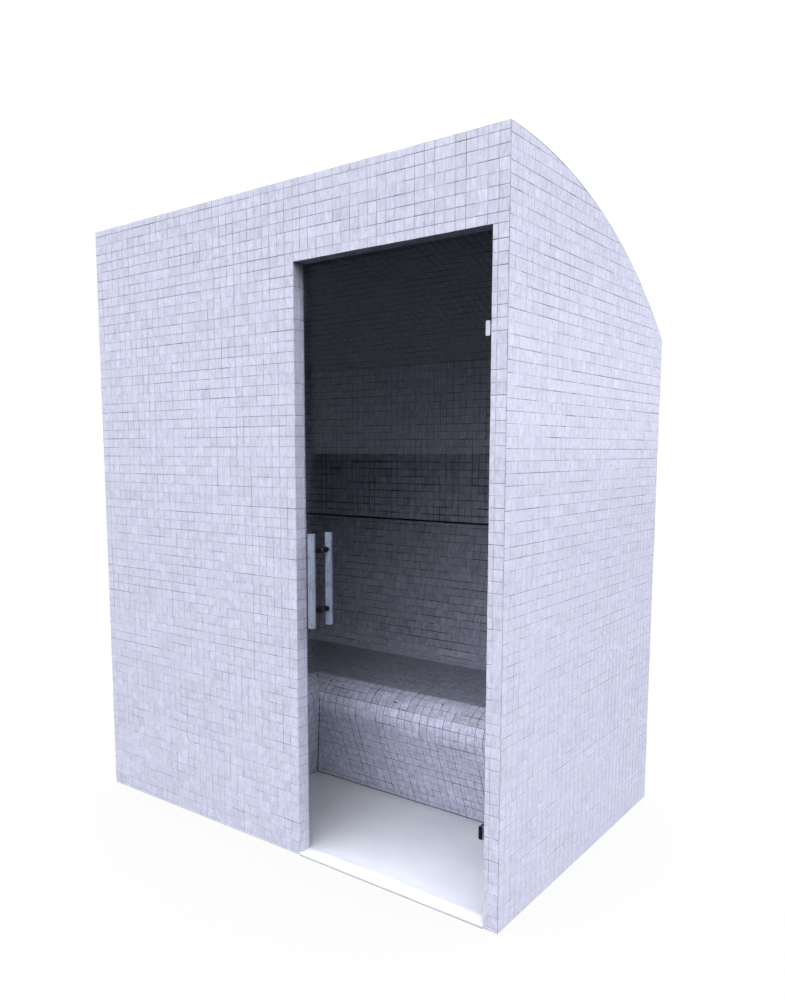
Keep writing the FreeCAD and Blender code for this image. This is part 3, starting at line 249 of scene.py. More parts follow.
def clip(polygon, start, end):
    """The part of a polygon on the left of a line."""
    run = (end[0] - start[0], end[1] - start[1])
    sides = run[0] * (polygon[:, 1] - start[1]) - run[1] * (polygon[:, 0] - start[0])
    if sides.min() >= 0:
        return polygon
    kept = []
    for k, point in enumerate(polygon):
        after = (k + 1) % len(polygon)
        if sides[k] >= 0:
            kept.append(point)
        if sides[k] * sides[after] < 0:
            kept.append(point + (polygon[after] - point) * sides[k] / (sides[k] - sides[after]))
    return tidy(kept)


def ring(centre, radius, count=HOLE_SIDES):
    """Points round a hole, clockwise."""
    turns = [-2 * math.pi * k / count for k in range(count)]
    return [(centre[0] + radius * math.cos(t), centre[1] + radius * math.sin(t)) for t in turns]


def bite(polygon, centre, radius):
    """A polygon with the part inside a round hole cut away."""
    centre = np.array(centre)
    nearest = np.clip(centre, polygon.min(axis=0), polygon.max(axis=0))
    if np.hypot(*(nearest - centre)) >= radius:
        return polygon
    walk = []
    for k, point in enumerate(polygon):
        step = polygon[(k + 1) % len(polygon)] - point
        for t in np.arange(0.0, 1.0, 1 / HOLE_WALK):
            walk.append(point + step * t)
    walk = np.array(walk)
    outside = np.hypot(*(walk - centre).T) > radius
    if not outside.any():
        return np.empty((0, 2))
    enter = [k for k in range(len(walk)) if outside[k] and not outside[(k + 1) % len(walk)]]
    if not enter:
        return polygon
    leave = (enter[0] + 1) % len(walk)
    while not outside[leave]:
        leave = (leave + 1) % len(walk)
    first = math.atan2(*(walk[enter[0]] - centre)[::-1])
    last = math.atan2(*(walk[leave] - centre)[::-1])
    while last > first:
        last -= 2 * math.pi
    turns = np.linspace(first, last, BITE_POINTS)
    kept = [centre + radius * np.array((math.cos(t), math.sin(t))) for t in turns]
    corner = leave
    while corner != enter[0]:
        if corner % HOLE_WALK == 0:
            kept.append(walk[corner])
        corner = (corner + 1) % len(walk)
    return tidy(kept)


def rim_places(polygon, levels):
    """Where the rim of a tile has points: at corners, and where a side crosses the levels of a bend."""
    places = []
    for side, point in enumerate(polygon):
        rise = polygon[(side + 1) % len(polygon)][1] - point[1]
        shares = [(level - point[1]) / rise for level in levels if abs(rise) > LEVEL_SIDE]
        between = [share for share in shares if END_SHARE < share < 1 - END_SHARE]
        places.extend((side, share) for share in sorted([0.0] + between))
    return places


def rim(polygon, places):
    """Points at places along the sides of a polygon."""
    after = np.roll(polygon, -1, axis=0)
    return np.array([polygon[side] + (after[side] - polygon[side]) * share for side, share in places])


def band_faces(heights, levels):
    """Faces over a rim, one for each band between two levels."""
    bands = []
    for low, high in zip(levels, levels[1:]):
        inside = (heights > low - BAND_SLACK) & (heights < high + BAND_SLACK)
        if inside.sum() > 2:
            bands.append([int(k) for k in np.flatnonzero(inside)])
    return bands


def lay_tile(build, field, polygon, look, gaps):
    """One glazed tile with a softened edge, a little uneven in size, level and tone."""
    lean = rng.uniform(-LEAN, LEAN, 2)
    sunk = rng.uniform(*SUNK)
    tone = float(np.clip(rng.normal(0.5, TONE_SPREAD), 0.0, 1.0))
    if len(polygon) < 3 or area(polygon) < SMALLEST:
        return
    back = stand_back(polygon, *gaps)
    foot = inset(polygon, back)
    crown = inset(polygon, back + ARRIS)
    if area(crown) < SMALLEST / 2 or np.ptp(crown, axis=0).min() < NARROWEST:
        return
    low, high = polygon[:, 1].min(), polygon[:, 1].max()
    levels = np.linspace(low, high, field.strips(low, high) + 1)
    places = rim_places(polygon, levels)
    heights = rim(polygon, places)[:, 1]
    foot = rim(foot, places)
    crown = rim(crown, places)
    count = len(foot)
    middle = crown.mean(axis=0)
    shoulder_level = np.minimum((foot - middle) @ lean, SUNK[0]) - sunk - ARRIS
    crown_level = np.minimum((crown - middle) @ lean, SUNK[0]) - sunk
    flat = np.concatenate((foot, foot, crown))
    level = np.concatenate((np.full(count, -RISE - BURIED), shoulder_level, crown_level))
    faces = [tuple(2 * count + k for k in band) for band in band_faces(heights, levels)]
    for k in range(count):
        after = (k + 1) % count
        faces.append((k, after, count + after, count + k))
        faces.append((count + k, count + after, 2 * count + after, 2 * count + k))
    build.add(field.place(flat[:, 0], flat[:, 1], level), faces, look, tone)


def stand_back(polygon, below, above, left, right):
    """The gap that each side of a tile leaves, by the joint that it faces."""
    step = np.roll(polygon, -1, axis=0) - polygon
    side = polygon + step / 2 - polygon.mean(axis=0)
    level = np.where(side[:, 1] < 0, below, above)
    upright = np.where(side[:, 0] < 0, left, right)
    return np.where(np.abs(step[:, 0]) > np.abs(step[:, 1]), level, upright)


def joint_gaps(lines, tiles, mean):
    """Gaps along each joint line, uneven from tile to tile and drifting along the line."""
    drift = rng.normal(size=(lines, tiles))
    for k in range(1, tiles):
        drift[:, k] = GAP_DRIFT * drift[:, k - 1] + math.sqrt(1 - GAP_DRIFT**2) * drift[:, k]
    return np.clip(mean * (1 + GAP_SPREAD * drift), GAP_LEAST, GAP_MOST * mean)


def joints(low, high, phase):
    """Joint lines from low to high on the grid of a phase."""
    first = math.ceil((low - phase) / PITCH + SLIVER)
    last = math.floor((high - phase) / PITCH - SLIVER)
    return [low] + [phase + PITCH * k for k in range(first, last + 1)] + [high]


def lay_tiles(build, field, across, upward, phases, trim=None, holes=(), look=TILE, gap=OUTSIDE_GAP):
    """Tiles over a block of a field, cut by trim and round holes."""
    columns = joints(*across, phases[0])
    rows = joints(*upward, phases[1])
    level = joint_gaps(len(rows), len(columns), gap[0])
    upright = joint_gaps(len(columns), len(rows), gap[1])
    for row, (low, high) in enumerate(zip(rows, rows[1:])):
        for column, (left, right) in enumerate(zip(columns, columns[1:])):
            gaps = (*level[row : row + 2, column], *upright[column : column + 2, row])
            polygon = np.array(((left, low), (right, low), (right, high), (left, high)))
            if trim is not None:
                polygon = trim(polygon)
            for centre, radius in holes:
                if len(polygon) > 2:
                    polygon = bite(polygon, centre, radius)
            lay_tile(build, field, polygon, look, gaps)


def under(top):
    """A trim that keeps what is below a line v = top(u)."""

    def trim(polygon):
        left, right = polygon[:, 0].min(), polygon[:, 0].max()
        return clip(polygon, (right, top(right)), (left, top(left)))

    return trim


def right_of(edge):
    """A trim that keeps what is right of a line u = edge(v)."""

    def trim(polygon):
        low, high = polygon[:, 1].min(), polygon[:, 1].max()
        return clip(polygon, (edge(high), high), (edge(low), low))

    return trim


def left_of(edge):
    """A trim that keeps what is left of a line u = edge(v)."""

    def trim(polygon):
        low, high = polygon[:, 1].min(), polygon[:, 1].max()
        return clip(polygon, (edge(low), low), (edge(high), high))

    return trim


def lay_bed(build, field, outline, holes=()):
    """The grout bed under the tiles of a flat field, with its holes."""
    loops = [outline, *holes]
    flat = np.array([point for loop in loops for point in loop])
    count = len(flat)
    corners = [[Vector((u, v, 0.0)) for u, v in loop] for loop in loops]
    faces = []
    for triangle in tessellate_polygon(corners):
        face = tuple(triangle) if area(flat[list(triangle)]) > 0 else tuple(reversed(triangle))
        faces.append(tuple(count + k for k in face))
        faces.append(tuple(reversed(face)))
    start = 0
    for loop in loops:
        for k in range(len(loop)):
            here = start + k
            after = start + (k + 1) % len(loop)
            faces.append((here, after, count + after, count + here))
        start += len(loop)
    both = np.concatenate((flat, flat))
    level = np.concatenate((np.full(count, -SKIN), np.full(count, -RISE)))
    build.add(field.place(both[:, 0], both[:, 1], level), faces, GROUT)


def lay_swept_bed(build, field, left, right):
    """The grout bed under a swept field between the lines u = left(v) and u = right(v)."""
    v = field.lengths
    count = len(v)
    edges = (np.array([left(k) for k in v]), np.array([right(k) for k in v]))
    rings = [
        field.place(edges[side], v, np.full(count, level))
        for side, level in ((0, -RISE), (1, -RISE), (1, -SKIN), (0, -SKIN))
    ]
    faces = []
    for k in range(count - 1):
        for a in range(4):
            b = (a + 1) % 4
            faces.append((a * count + k, b * count + k, b * count + k + 1, a * count + k + 1))
    faces.append(tuple(a * count for a in (3, 2, 1, 0)))
    faces.append(tuple(a * count + count - 1 for a in range(4)))
    build.add(np.concatenate(rings), faces, GROUT)


def rectangle(across, upward):
    """The corners of a block, anticlockwise."""
    return [
        (across[0], upward[0]),
        (across[1], upward[0]),
        (across[1], upward[1]),
        (across[0], upward[1]),
    ]


def arched(across, low, top, parts=36):
    """An outline with a level foot and a top that follows v = top(u)."""
    along = [across[1] + (across[0] - across[1]) * k / parts for k in range(parts + 1)]
    return [(across[0], low), (across[1], low)] + [(u, top(u)) for u in along]


# Looks
GLAZE = (0.612, 0.622, 0.775)
CEMENT = (
    (0.34, (0.075, 0.078, 0.095)),
    (0.52, (0.210, 0.215, 0.250)),
    (0.70, (0.460, 0.470, 0.550)),
)
# Shares of the glaze's tone for lit and shaded copies of it: painted light on the bench front, painted
# shade in the room, deepest painted shade on the vault and the seats
BENCH_SHADE = 1.15
ROOM_SHADE = 0.68
WALL_SHADE = 0.83
DEEP_SHADE = 0.34
# the room grout's share of its tone, nearly black: dark joints, and partly painted shade
ROOM_GROUT_SHADE = 0.10
PAINTED_LIGHT_BELOW, PAINTED_SHADE_ABOVE = (0.90, 1.30), (1.75, 0.905)  # heights, and the glaze's share of its tone there: painted light low in the room, painted shade towards the vault
TONGUE_FRONT = span("floor_tray", "Y")[0]
LIP_DEPTH, LIP_PAINTED_LIGHT = 0.001, 1.38  # the tray's front, painted lighter
FOOT_LINE, FOOT_FADE, FOOT_PAINTED_SHADOW = 0.0024, 0.0010, 0.36  # and a painted shadow along its lowest edge
PANE_CLOUD = 0.012
MIRROR_TINT = (0.72, 0.82, 1.0, 1.0)
GRAZING_MIRROR = 0.25


def material(name):
    """A new material, its node tree and its shader."""
    made = bpy.data.materials.new(name)
    made.use_nodes = True
    return made, made.node_tree, made.node_tree.nodes["Principled BSDF"]


def noise(tree, scale, stretch=(1, 1, 1), detail=4.0, rough=0.55):
    """Noise over the object's own coordinates, in cycles to a metre."""
    place = tree.nodes.new("ShaderNodeTexCoord")
    squeeze = tree.nodes.new("ShaderNodeMapping")
    squeeze.inputs["Scale"].default_value = stretch
    grain = tree.nodes.new("ShaderNodeTexNoise")
    grain.inputs["Scale"].default_value = scale
    grain.inputs["Detail"].default_value = detail
    grain.inputs["Roughness"].default_value = rough
    tree.links.new(place.outputs["Object"], squeeze.inputs["Vector"])
    tree.links.new(squeeze.outputs["Vector"], grain.inputs["Vector"])
    return grain.outputs["Fac"]


def ramp(tree, value, *stops):
    """A colour ramp; a stop's colour may be one grey number."""
    made = tree.nodes.new("ShaderNodeValToRGB")
    elements = made.color_ramp.elements
    while len(elements) < len(stops):
        elements.new(0.5)
    for element, (position, colour) in zip(elements, stops):
        element.position = position
        element.color = (*colour, 1.0) if isinstance(colour, tuple) else (colour, colour, colour, 1.0)
    tree.links.new(value, made.inputs["Fac"])
    return made.outputs["Color"]


def blend(tree, mode, first, second):
    """Two colours mixed in full by a blend mode."""
    made = tree.nodes.new("ShaderNodeMix")
    made.data_type = "RGBA"
    made.blend_type = mode
    made.inputs["Factor"].default_value = 1.0
    tree.links.new(first, made.inputs["A"])
    tree.links.new(second, made.inputs["B"])
    return made.outputs["Result"]


def arithmetic(tree, operation, *values):
    """A Math node; each value is a socket or a number."""
    made = tree.nodes.new("ShaderNodeMath")
    made.operation = operation
    for socket, value in zip(made.inputs, values):
        if isinstance(value, (int, float)):
            socket.default_value = value
        else:
            tree.links.new(value, socket)
    return made.outputs[0]


def axis_of(tree, axis, space="Object"):
    """One coordinate of the place that is shaded, or of the way to the sky."""
    place = tree.nodes.new("ShaderNodeTexCoord")
    parts = tree.nodes.new("ShaderNodeSeparateXYZ")
    tree.links.new(place.outputs[space], parts.inputs["Vector"])
    return parts.outputs[axis]


def graded(tree, value, first, last):
    """A value that goes straight from one (place, result) to another."""
    made = tree.nodes.new("ShaderNodeMapRange")
    made.inputs["From Min"].default_value, made.inputs["To Min"].default_value = first
    made.inputs["From Max"].default_value, made.inputs["To Max"].default_value = last
    tree.links.new(value, made.inputs["Value"])
    return made.outputs["Result"]


def see_through(tree, share, through, surface):
    """Let a material show a share of its surface and the rest of what is behind it."""
    both = tree.nodes.new("ShaderNodeMixShader")
    tree.links.new(share, both.inputs["Fac"])
    tree.links.new(through.outputs["BSDF"], both.inputs[1])
    tree.links.new(surface.outputs["BSDF"], both.inputs[2])
    tree.links.new(both.outputs["Shader"], tree.nodes["Material Output"].inputs["Surface"])


def bump(tree, shader, height, distance):
    """Fine relief on a shader."""
    made = tree.nodes.new("ShaderNodeBump")
    made.inputs["Distance"].default_value = distance
    tree.links.new(height, made.inputs["Height"])
    tree.links.new(made.outputs["Normal"], shader.inputs["Normal"])


def glazed_tile(name, shade, uneven, mottle, grain, shaded_by_height=False):
    """Lilac-white glaze, each tile a shade of its own, with clouds, fine mottling and a soft ripple.

    One shaded by height has painted light low down and painted shade towards the vault.
    """
    made, tree, shader = material(name)
    tone = tree.nodes.new("ShaderNodeAttribute")
    tone.attribute_name = "tone"
    stops = []
    for stop in (0.0, 0.5, 1.0):
        stops.append((stop, tuple(shade * (1 + uneven * (stop - 0.5)) * channel for channel in GLAZE)))
    body = ramp(tree, tone.outputs["Fac"], *stops)
    clouds = ramp(tree, noise(tree, 14, (1, 1, 2.2), 5), (0.25, (0.915, 0.930, 0.950)), (0.75, 1.03))
    streaks = ramp(tree, noise(tree, grain, (1, 1, 0.35), 3), (0.25, 1.0 - mottle), (0.75, 1.0 + mottle))
    glaze = blend(tree, "MULTIPLY", blend(tree, "MULTIPLY", body, clouds), streaks)
    if shaded_by_height:
        # painted shade by height: brighter low in the room, darker towards the vault
        glaze = blend(tree, "MULTIPLY", glaze, graded(tree, axis_of(tree, "Z"), PAINTED_LIGHT_BELOW, PAINTED_SHADE_ABOVE))
    tree.links.new(glaze, shader.inputs["Base Color"])
    tree.links.new(ramp(tree, noise(tree, 90), (0.3, 0.24), (0.7, 0.40)), shader.inputs["Roughness"])
    bump(tree, shader, noise(tree, 130, detail=2), 0.00012)
    return made


def cement_grout(name, shade):
    """Grey grout, paler where it is washed out and darker where damp stays."""
    made, tree, shader = material(name)
    stain = ramp(
        tree,
        noise(tree, 11, (1, 1, 1.7), 6, 0.65),
        *[(stop, tuple(shade * channel for channel in colour)) for stop, colour in CEMENT],
    )
    grit = ramp(tree, noise(tree, 900, detail=2), (0.3, 0.85), (0.7, 1.0))
    tree.links.new(blend(tree, "MULTIPLY", stain, grit), shader.inputs["Base Color"])
    tree.links.new(ramp(tree, noise(tree, 300), (0.3, 0.78), (0.7, 0.95)), shader.inputs["Roughness"])
    bump(tree, shader, noise(tree, 700), 0.0003)
    return made


def mesh_coat(name, dark, pale):
    """Cement coat over a glass-fibre mesh, as on a foam building board."""
    made, tree, shader = material(name)
    place = tree.nodes.new("ShaderNodeTexCoord")
    threads = []
    for way in ("X", "Y"):
        wave = tree.nodes.new("ShaderNodeTexWave")
        wave.bands_direction = way
        wave.inputs["Scale"].default_value = 62.0
        wave.inputs["Distortion"].default_value = 0.6
        wave.inputs["Detail Scale"].default_value = 3.0
        tree.links.new(place.outputs["Object"], wave.inputs["Vector"])
        threads.append(wave.outputs["Fac"])
    weave = blend(tree, "LIGHTEN", *threads)
    coat = ramp(tree, noise(tree, 6, detail=7, rough=0.65), (0.3, dark), (0.7, pale))
    worn = blend(tree, "MULTIPLY", coat, ramp(tree, weave, (0.3, 0.86), (0.95, 1.04)))
    tree.links.new(worn, shader.inputs["Base Color"])
    tree.links.new(ramp(tree, noise(tree, 50), (0.3, 0.78), (0.7, 0.95)), shader.inputs["Roughness"])
    bump(tree, shader, weave, 0.0004)
    return made


def tray_white():
    """White cast tray with a fine stipple, a painted highlight on the front of its tongue and a painted
    shadow along its foot.
    """
    made, tree, shader = material("tray_white")
    dull, clean = (0.592, 0.596, 0.664), (0.662, 0.670, 0.728)
    cast = ramp(tree, noise(tree, 5, detail=6), (0.3, dull), (0.7, clean))
    fleck = ramp(tree, noise(tree, 420, detail=2), (0.28, 0.955), (0.42, 1.0))
    # painted light on the front face of the tongue, and painted shadow along the tray's lowest edge
    lip_painted_light = graded(tree, axis_of(tree, "Y"), (TONGUE_FRONT, LIP_PAINTED_LIGHT), (TONGUE_FRONT + LIP_DEPTH, 1.0))
    foot = graded(tree, axis_of(tree, "Z"), (FOOT_LINE, FOOT_PAINTED_SHADOW), (FOOT_LINE + FOOT_FADE, 1.0))
    tone = blend(tree, "MULTIPLY", cast, fleck)
    for edge in (lip_painted_light, foot):
        tone = blend(tree, "MULTIPLY", tone, edge)
    tree.links.new(tone, shader.inputs["Base Color"])
    tree.links.new(ramp(tree, noise(tree, 40), (0.3, 0.36), (0.7, 0.52)), shader.inputs["Roughness"])
    bump(tree, shader, noise(tree, 520, detail=1), 0.00025)
    return made


def clear_pane(name, passed, mirror):
    """Clear pane: a faint tint, and a mirror that grows towards a grazing look."""
    made, tree, shader = material(name)
    tree.nodes.remove(shader)
    through = tree.nodes.new("ShaderNodeBsdfTransparent")
    clearer = tuple(min(1.0, channel + PANE_CLOUD) for channel in passed)
    film = ramp(tree, noise(tree, 3, detail=3), (0.3, passed), (0.7, clearer))
    tree.links.new(film, through.inputs["Color"])
    shine = tree.nodes.new("ShaderNodeBsdfGlossy")
    shine.inputs["Roughness"].default_value = 0.0
    shine.inputs["Color"].default_value = MIRROR_TINT
    graze = tree.nodes.new("ShaderNodeLayerWeight")
    graze.inputs["Blend"].default_value = 0.5
    steep = arithmetic(tree, "POWER", graze.outputs["Facing"], 5.0)
    see_through(tree, graded(tree, steep, (0.0, mirror), (1.0, GRAZING_MIRROR)), through, shine)
    return made


def soft_seal():
    """Milky clear extrusion."""
    made, tree, shader = material("clear_seal")
    milk = ramp(tree, noise(tree, 60, (1, 1, 0.1)), (0.3, (0.60, 0.62, 0.66)), (0.7, (0.70, 0.72, 0.76)))
    tree.links.new(milk, shader.inputs["Base Color"])
    tree.links.new(ramp(tree, noise(tree, 200), (0.3, 0.18), (0.7, 0.32)), shader.inputs["Roughness"])
    through = tree.nodes.new("ShaderNodeBsdfTransparent")
    through.inputs["Color"].default_value = (0.994, 0.995, 0.997, 1.0)
    milkiness = ramp(tree, noise(tree, 25, (1, 1, 0.2)), (0.3, 0.003), (0.7, 0.008))
    see_through(tree, milkiness, through, shader)
    return made


def metal(name, dark, pale, rough, brush, scale, depth, bare=1.0):
    """Metal with a brushed or polished grain that varies its colour and roughness."""
    made, tree, shader = material(name)
    shader.inputs["Metallic"].default_value = bare
    grain = noise(tree, scale, brush, 3)
    tree.links.new(ramp(tree, grain, (0.3, dark), (0.7, pale)), shader.inputs["Base Color"])
    smudge = blend(
        tree,
        "MULTIPLY",
        ramp(tree, grain, (0.3, rough[0]), (0.7, rough[1])),
        ramp(tree, noise(tree, 25), (0.35, 0.85), (0.65, 1.15)),
    )
    tree.links.new(smudge, shader.inputs["Roughness"])
    bump(tree, shader, grain, depth)
    return made


def satin_black():
    """Satin black coat on metal."""
    made, tree, shader = material("satin_black")
    shader.inputs["Specular IOR Level"].default_value = 0.25
    coat = ramp(tree, noise(tree, 80), (0.3, (0.004, 0.004, 0.005)), (0.7, (0.010, 0.010, 0.012)))
    tree.links.new(coat, shader.inputs["Base Color"])
    tree.links.new(ramp(tree, noise(tree, 240), (0.3, 0.30), (0.7, 0.46)), shader.inputs["Roughness"])
    bump(tree, shader, noise(tree, 900, detail=1), 0.00004)
    return made


def dark_rubber():
    """Dull, nearly black rubber."""
    made, tree, shader = material("dark_rubber")
    skin = ramp(tree, noise(tree, 60), (0.3, (0.030, 0.030, 0.032)), (0.7, (0.060, 0.060, 0.063)))
    tree.links.new(skin, shader.inputs["Base Color"])
    tree.links.new(ramp(tree, noise(tree, 160), (0.3, 0.6), (0.7, 0.8)), shader.inputs["Roughness"])
    bump(tree, shader, noise(tree, 700, detail=1), 0.00006)
    return made


LOOKS = {
    "mosaic": glazed_tile("lilac_glaze", shade=1.0, uneven=0.16, mottle=0.16, grain=120),
    "foam_board": mesh_coat("board_coat", dark=(0.150, 0.153, 0.160), pale=(0.195, 0.198, 0.206)),
    "tray": tray_white(),
    "clear_glass": clear_pane("door_pane", passed=(0.968, 0.975, 0.985), mirror=0.0145),
    "steel": metal(
        "brushed_steel",
        dark=(0.50, 0.58, 0.77),
        pale=(0.65, 0.74, 0.93),
        rough=(0.24, 0.36),
        brush=(1, 1, 0.02),
        scale=420,
        depth=0.00003,
        bare=0.70,
    ),
    "chrome": metal(
        "polished_chrome",
        dark=(0.80, 0.90, 0.99),
        pale=(0.89, 0.97, 1.00),
        rough=(0.05, 0.09),
        brush=(1, 1, 1),
        scale=120,
        depth=0.000004,
    ),
    "fastener": metal(
        "zinc_screw",
        dark=(0.42, 0.43, 0.45),
        pale=(0.56, 0.57, 0.59),
        rough=(0.28, 0.42),
        brush=(1, 1, 1),
        scale=300,
        depth=0.00003,
    ),
    "black_metal": satin_black(),
    "gasket": dark_rubber(),
    "clear_seal": soft_seal(),
}
# Copies of the glaze for the room: painted light on the bench front, painted shade on the walls,
# backrests, nose tops and soffit, deepest painted shade on the vault and seats
BENCH_GLAZE = glazed_tile("bench_glaze", BENCH_SHADE, uneven=0.22, mottle=0.30, grain=100)
ROOM_GLAZE = glazed_tile("room_glaze", ROOM_SHADE, uneven=0.30, mottle=0.30, grain=90, shaded_by_height=True)
WALL_GLAZE = glazed_tile("wall_glaze", WALL_SHADE, uneven=0.30, mottle=0.30, grain=90, shaded_by_height=True)
DEEP_SHADE_GLAZE = glazed_tile("deep_shade_glaze", DEEP_SHADE, uneven=0.30, mottle=0.30, grain=90, shaded_by_height=True)
DRY_GROUT = cement_grout("grey_grout", 1.0)
# Nearly black copy of the grout for the room: dark joints, and painted shade in the room's open joints
# and on its bare ledges
DARK_ROOM_GROUT = cement_grout("dark_room_grout", ROOM_GROUT_SHADE)
PANE_EDGE = clear_pane("pane_edge", passed=(0.955, 0.972, 0.970), mirror=0.010)

for part in frame["record"]["subparts"]:
    dressed = nodes[part["node"]]
    dressed.data.materials.clear()
    dressed.data.materials.append(LOOKS[part["material_slot"]])

# The pane's narrow edges show their depth of tint
pane = nodes["door_glass"].data
pane.materials.append(PANE_EDGE)
for face in pane.polygons:
    face.material_index = 0 if abs(face.normal.y) > 0.5 else 1


def tiled(build, name, *replaced):
    """A piece of outer tiles in place of CAD nodes."""
    return build.piece(name, (LOOKS["mosaic"], DRY_GROUT), "mosaic", "cabin", replaced)


def room_tiled(build, name, *replaced, glaze=ROOM_GLAZE):
    """A piece of room tiles in place of CAD nodes, in the painted-light and painted-shade copies of the
    glaze.
    """
    return build.piece(name, (BENCH_GLAZE, DARK_ROOM_GROUT, glaze, DEEP_SHADE_GLAZE), "mosaic", "cabin", replaced)


# Outside: front, with the doorway left open
front = Plane(X, Z, HALF_DEPTH)
build = Build()
lay_bed(
    build,
    front,
    [
        (-HALF_WIDTH + LAP, FOOT),
        (DOOR_LEFT - LAP, FOOT),
        (DOOR_LEFT - LAP, DOOR_TOP + LAP),
        (DOOR_RIGHT + LAP, DOOR_TOP + LAP),
        (DOOR_RIGHT + LAP, FOOT),
        (HALF_WIDTH - LAP, FOOT),
        (HALF_WIDTH - LAP, FRONT_TOP),
        (-HALF_WIDTH + LAP, FRONT_TOP),
    ],
)
front_grid = (-HALF_WIDTH, FRONT_ROWS)
front_edge = HALF_WIDTH - CORNER_BACK
lay_tiles(build, front, (-front_edge, DOOR_LEFT), (FOOT, FRONT_TOP), front_grid, gap=FRONT_GAP)
lay_tiles(build, front, (DOOR_LEFT, front_edge), (DOOR_TOP, FRONT_TOP), front_grid, gap=FRONT_GAP)
lay_tiles(build, front, (DOOR_RIGHT, front_edge), (FOOT, DOOR_TOP), front_grid, gap=FRONT_GAP)
tiled(build, "front_outer_tiles", "front_outer_mosaic")

# Outside: right, left and rear
side_span = (-HALF_DEPTH + LAP, HALF_DEPTH - LAP)
ROOF_EDGE = ROOF_RADIUS - CORNER_BACK
side_skin = span("right_outer_mosaic", "Y")
right = Plane(Y, Z, HALF_WIDTH)
build = Build()
lay_bed(build, right, arched(side_skin, FOOT, lambda u: arc_height(ROOF_RADIUS, u)))
lay_tiles(
    build,
    right,
    side_span,
    (FOOT, FRONT_TOP),
    (-HALF_DEPTH, SIDE_ROWS),
    under(lambda u: arc_height(ROOF_EDGE, u)),
)
tiled(build, "right_outer_tiles", "right_outer_mosaic")

steam_low, steam_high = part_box("steam_pipe")
probe_low, probe_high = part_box("temperature_probe")
wall_holes = (
    ((-(steam_low[1] + steam_high[1]) / 2, (steam_low[2] + steam_high[2]) / 2), STEAM_PIPE_HOLE),
    ((-(probe_low[1] + probe_high[1]) / 2, (probe_low[2] + probe_high[2]) / 2), PROBE_HOLE),
)
left = Plane(-Y, Z, HALF_WIDTH)
build = Build()
lay_bed(
    build,
    left,
    arched(side_skin, FOOT, lambda u: arc_height(ROOF_RADIUS, -u)),
    [ring(centre, radius) for centre, radius in wall_holes],
)
lay_tiles(
    build,
    left,
    side_span,
    (FOOT, FRONT_TOP),
    (-HALF_DEPTH, SIDE_ROWS),
    under(lambda u: arc_height(ROOF_EDGE, -u)),
    wall_holes,
)
tiled(build, "left_outer_tiles", "left_outer_mosaic")

rear = Plane(-X, Z, HALF_DEPTH)
build = Build()
rear_rows = (FOOT, arc_height(ROOF_RADIUS, HALF_DEPTH))
lay_bed(build, rear, rectangle((-HALF_WIDTH + LAP, HALF_WIDTH - LAP), rear_rows))
lay_tiles(build, rear, (-HALF_WIDTH, HALF_WIDTH), rear_rows, (-HALF_WIDTH, SIDE_ROWS))
tiled(build, "rear_outer_tiles", "rear_outer_mosaic")

# Doorway: jamb and soffit
inner_front = -ROOM_BACK
jamb = Plane(Y, Z, DOOR_LEFT)
build = Build()
lay_bed(build, jamb, rectangle(span("doorway_jamb_mosaic", "Y"), (FLOOR, DOOR_TOP)))
lay_tiles(
    build,
    jamb,
    (-HALF_DEPTH + LAP, inner_front - LAP),
    (FLOOR, DOOR_TOP),
    (-HALF_DEPTH, FRONT_ROWS),
)
tiled(build, "doorway_jamb_tiles", "doorway_jamb_mosaic")

soffit = Plane(X, -Y, -DOOR_TOP)
soffit_skin = span("doorway_soffit_mosaic", "Y")
build = Build()
lay_bed(build, soffit, rectangle((DOOR_LEFT, DOOR_RIGHT), (-soffit_skin[1], -soffit_skin[0])))
# Laid in the darker room glaze: painted shade on the down-facing soffit.
lay_tiles(
    build,
    soffit,
    (DOOR_LEFT, DOOR_RIGHT),
    (-inner_front + LAP, HALF_DEPTH - LAP),
    (-HALF_WIDTH, HALF_DEPTH),
    look=ROOM_TILE,
)
room_tiled(build, "doorway_soffit_tiles", "doorway_soffit_mosaic")

# Room: walls over the backrests, right wall, front wall and ceiling
ROOM = (-ROOM_BACK, ROOM_BACK)
WIDTH = (-ROOM_RIGHT, ROOM_RIGHT)


def ceiling_at(y):
    """Height of the vault over the room at depth y."""
    return arc_height(CEILING_RADIUS, y)


left_room = Plane(Y, Z, -ROOM_RIGHT)
build = Build()
lay_bed(build, left_room, arched(ROOM, BACKREST_TOP, ceiling_at))
lay_tiles(
    build,
    left_room,
    ROOM,
    (BACKREST_TOP, FRONT_TOP),
    (-ROOM_BACK, BACKREST_TOP),
    under(ceiling_at),
    look=ROOM_TILE,
    gap=ROOM_GAP,
)
room_tiled(build, "left_inner_tiles", "left_inner_mosaic")

back_room = Plane(X, Z, -ROOM_BACK)
build = Build()
lay_bed(build, back_room, rectangle(WIDTH, (BACKREST_TOP, ceiling_at(ROOM_BACK))))
back_rows = (BACKREST_TOP + SHADOW_JOINT, ceiling_at(ROOM_BACK) - SHADOW_JOINT)
# The rear wall takes its own, lighter copy of the room glaze: painted shade, less deep than on the other
# room walls.
lay_tiles(build, back_room, WIDTH, back_rows, (-ROOM_RIGHT, BACKREST_TOP), look=ROOM_TILE, gap=WALL_GAP)
room_tiled(build, "back_inner_tiles", "back_inner_mosaic", glaze=WALL_GLAZE)

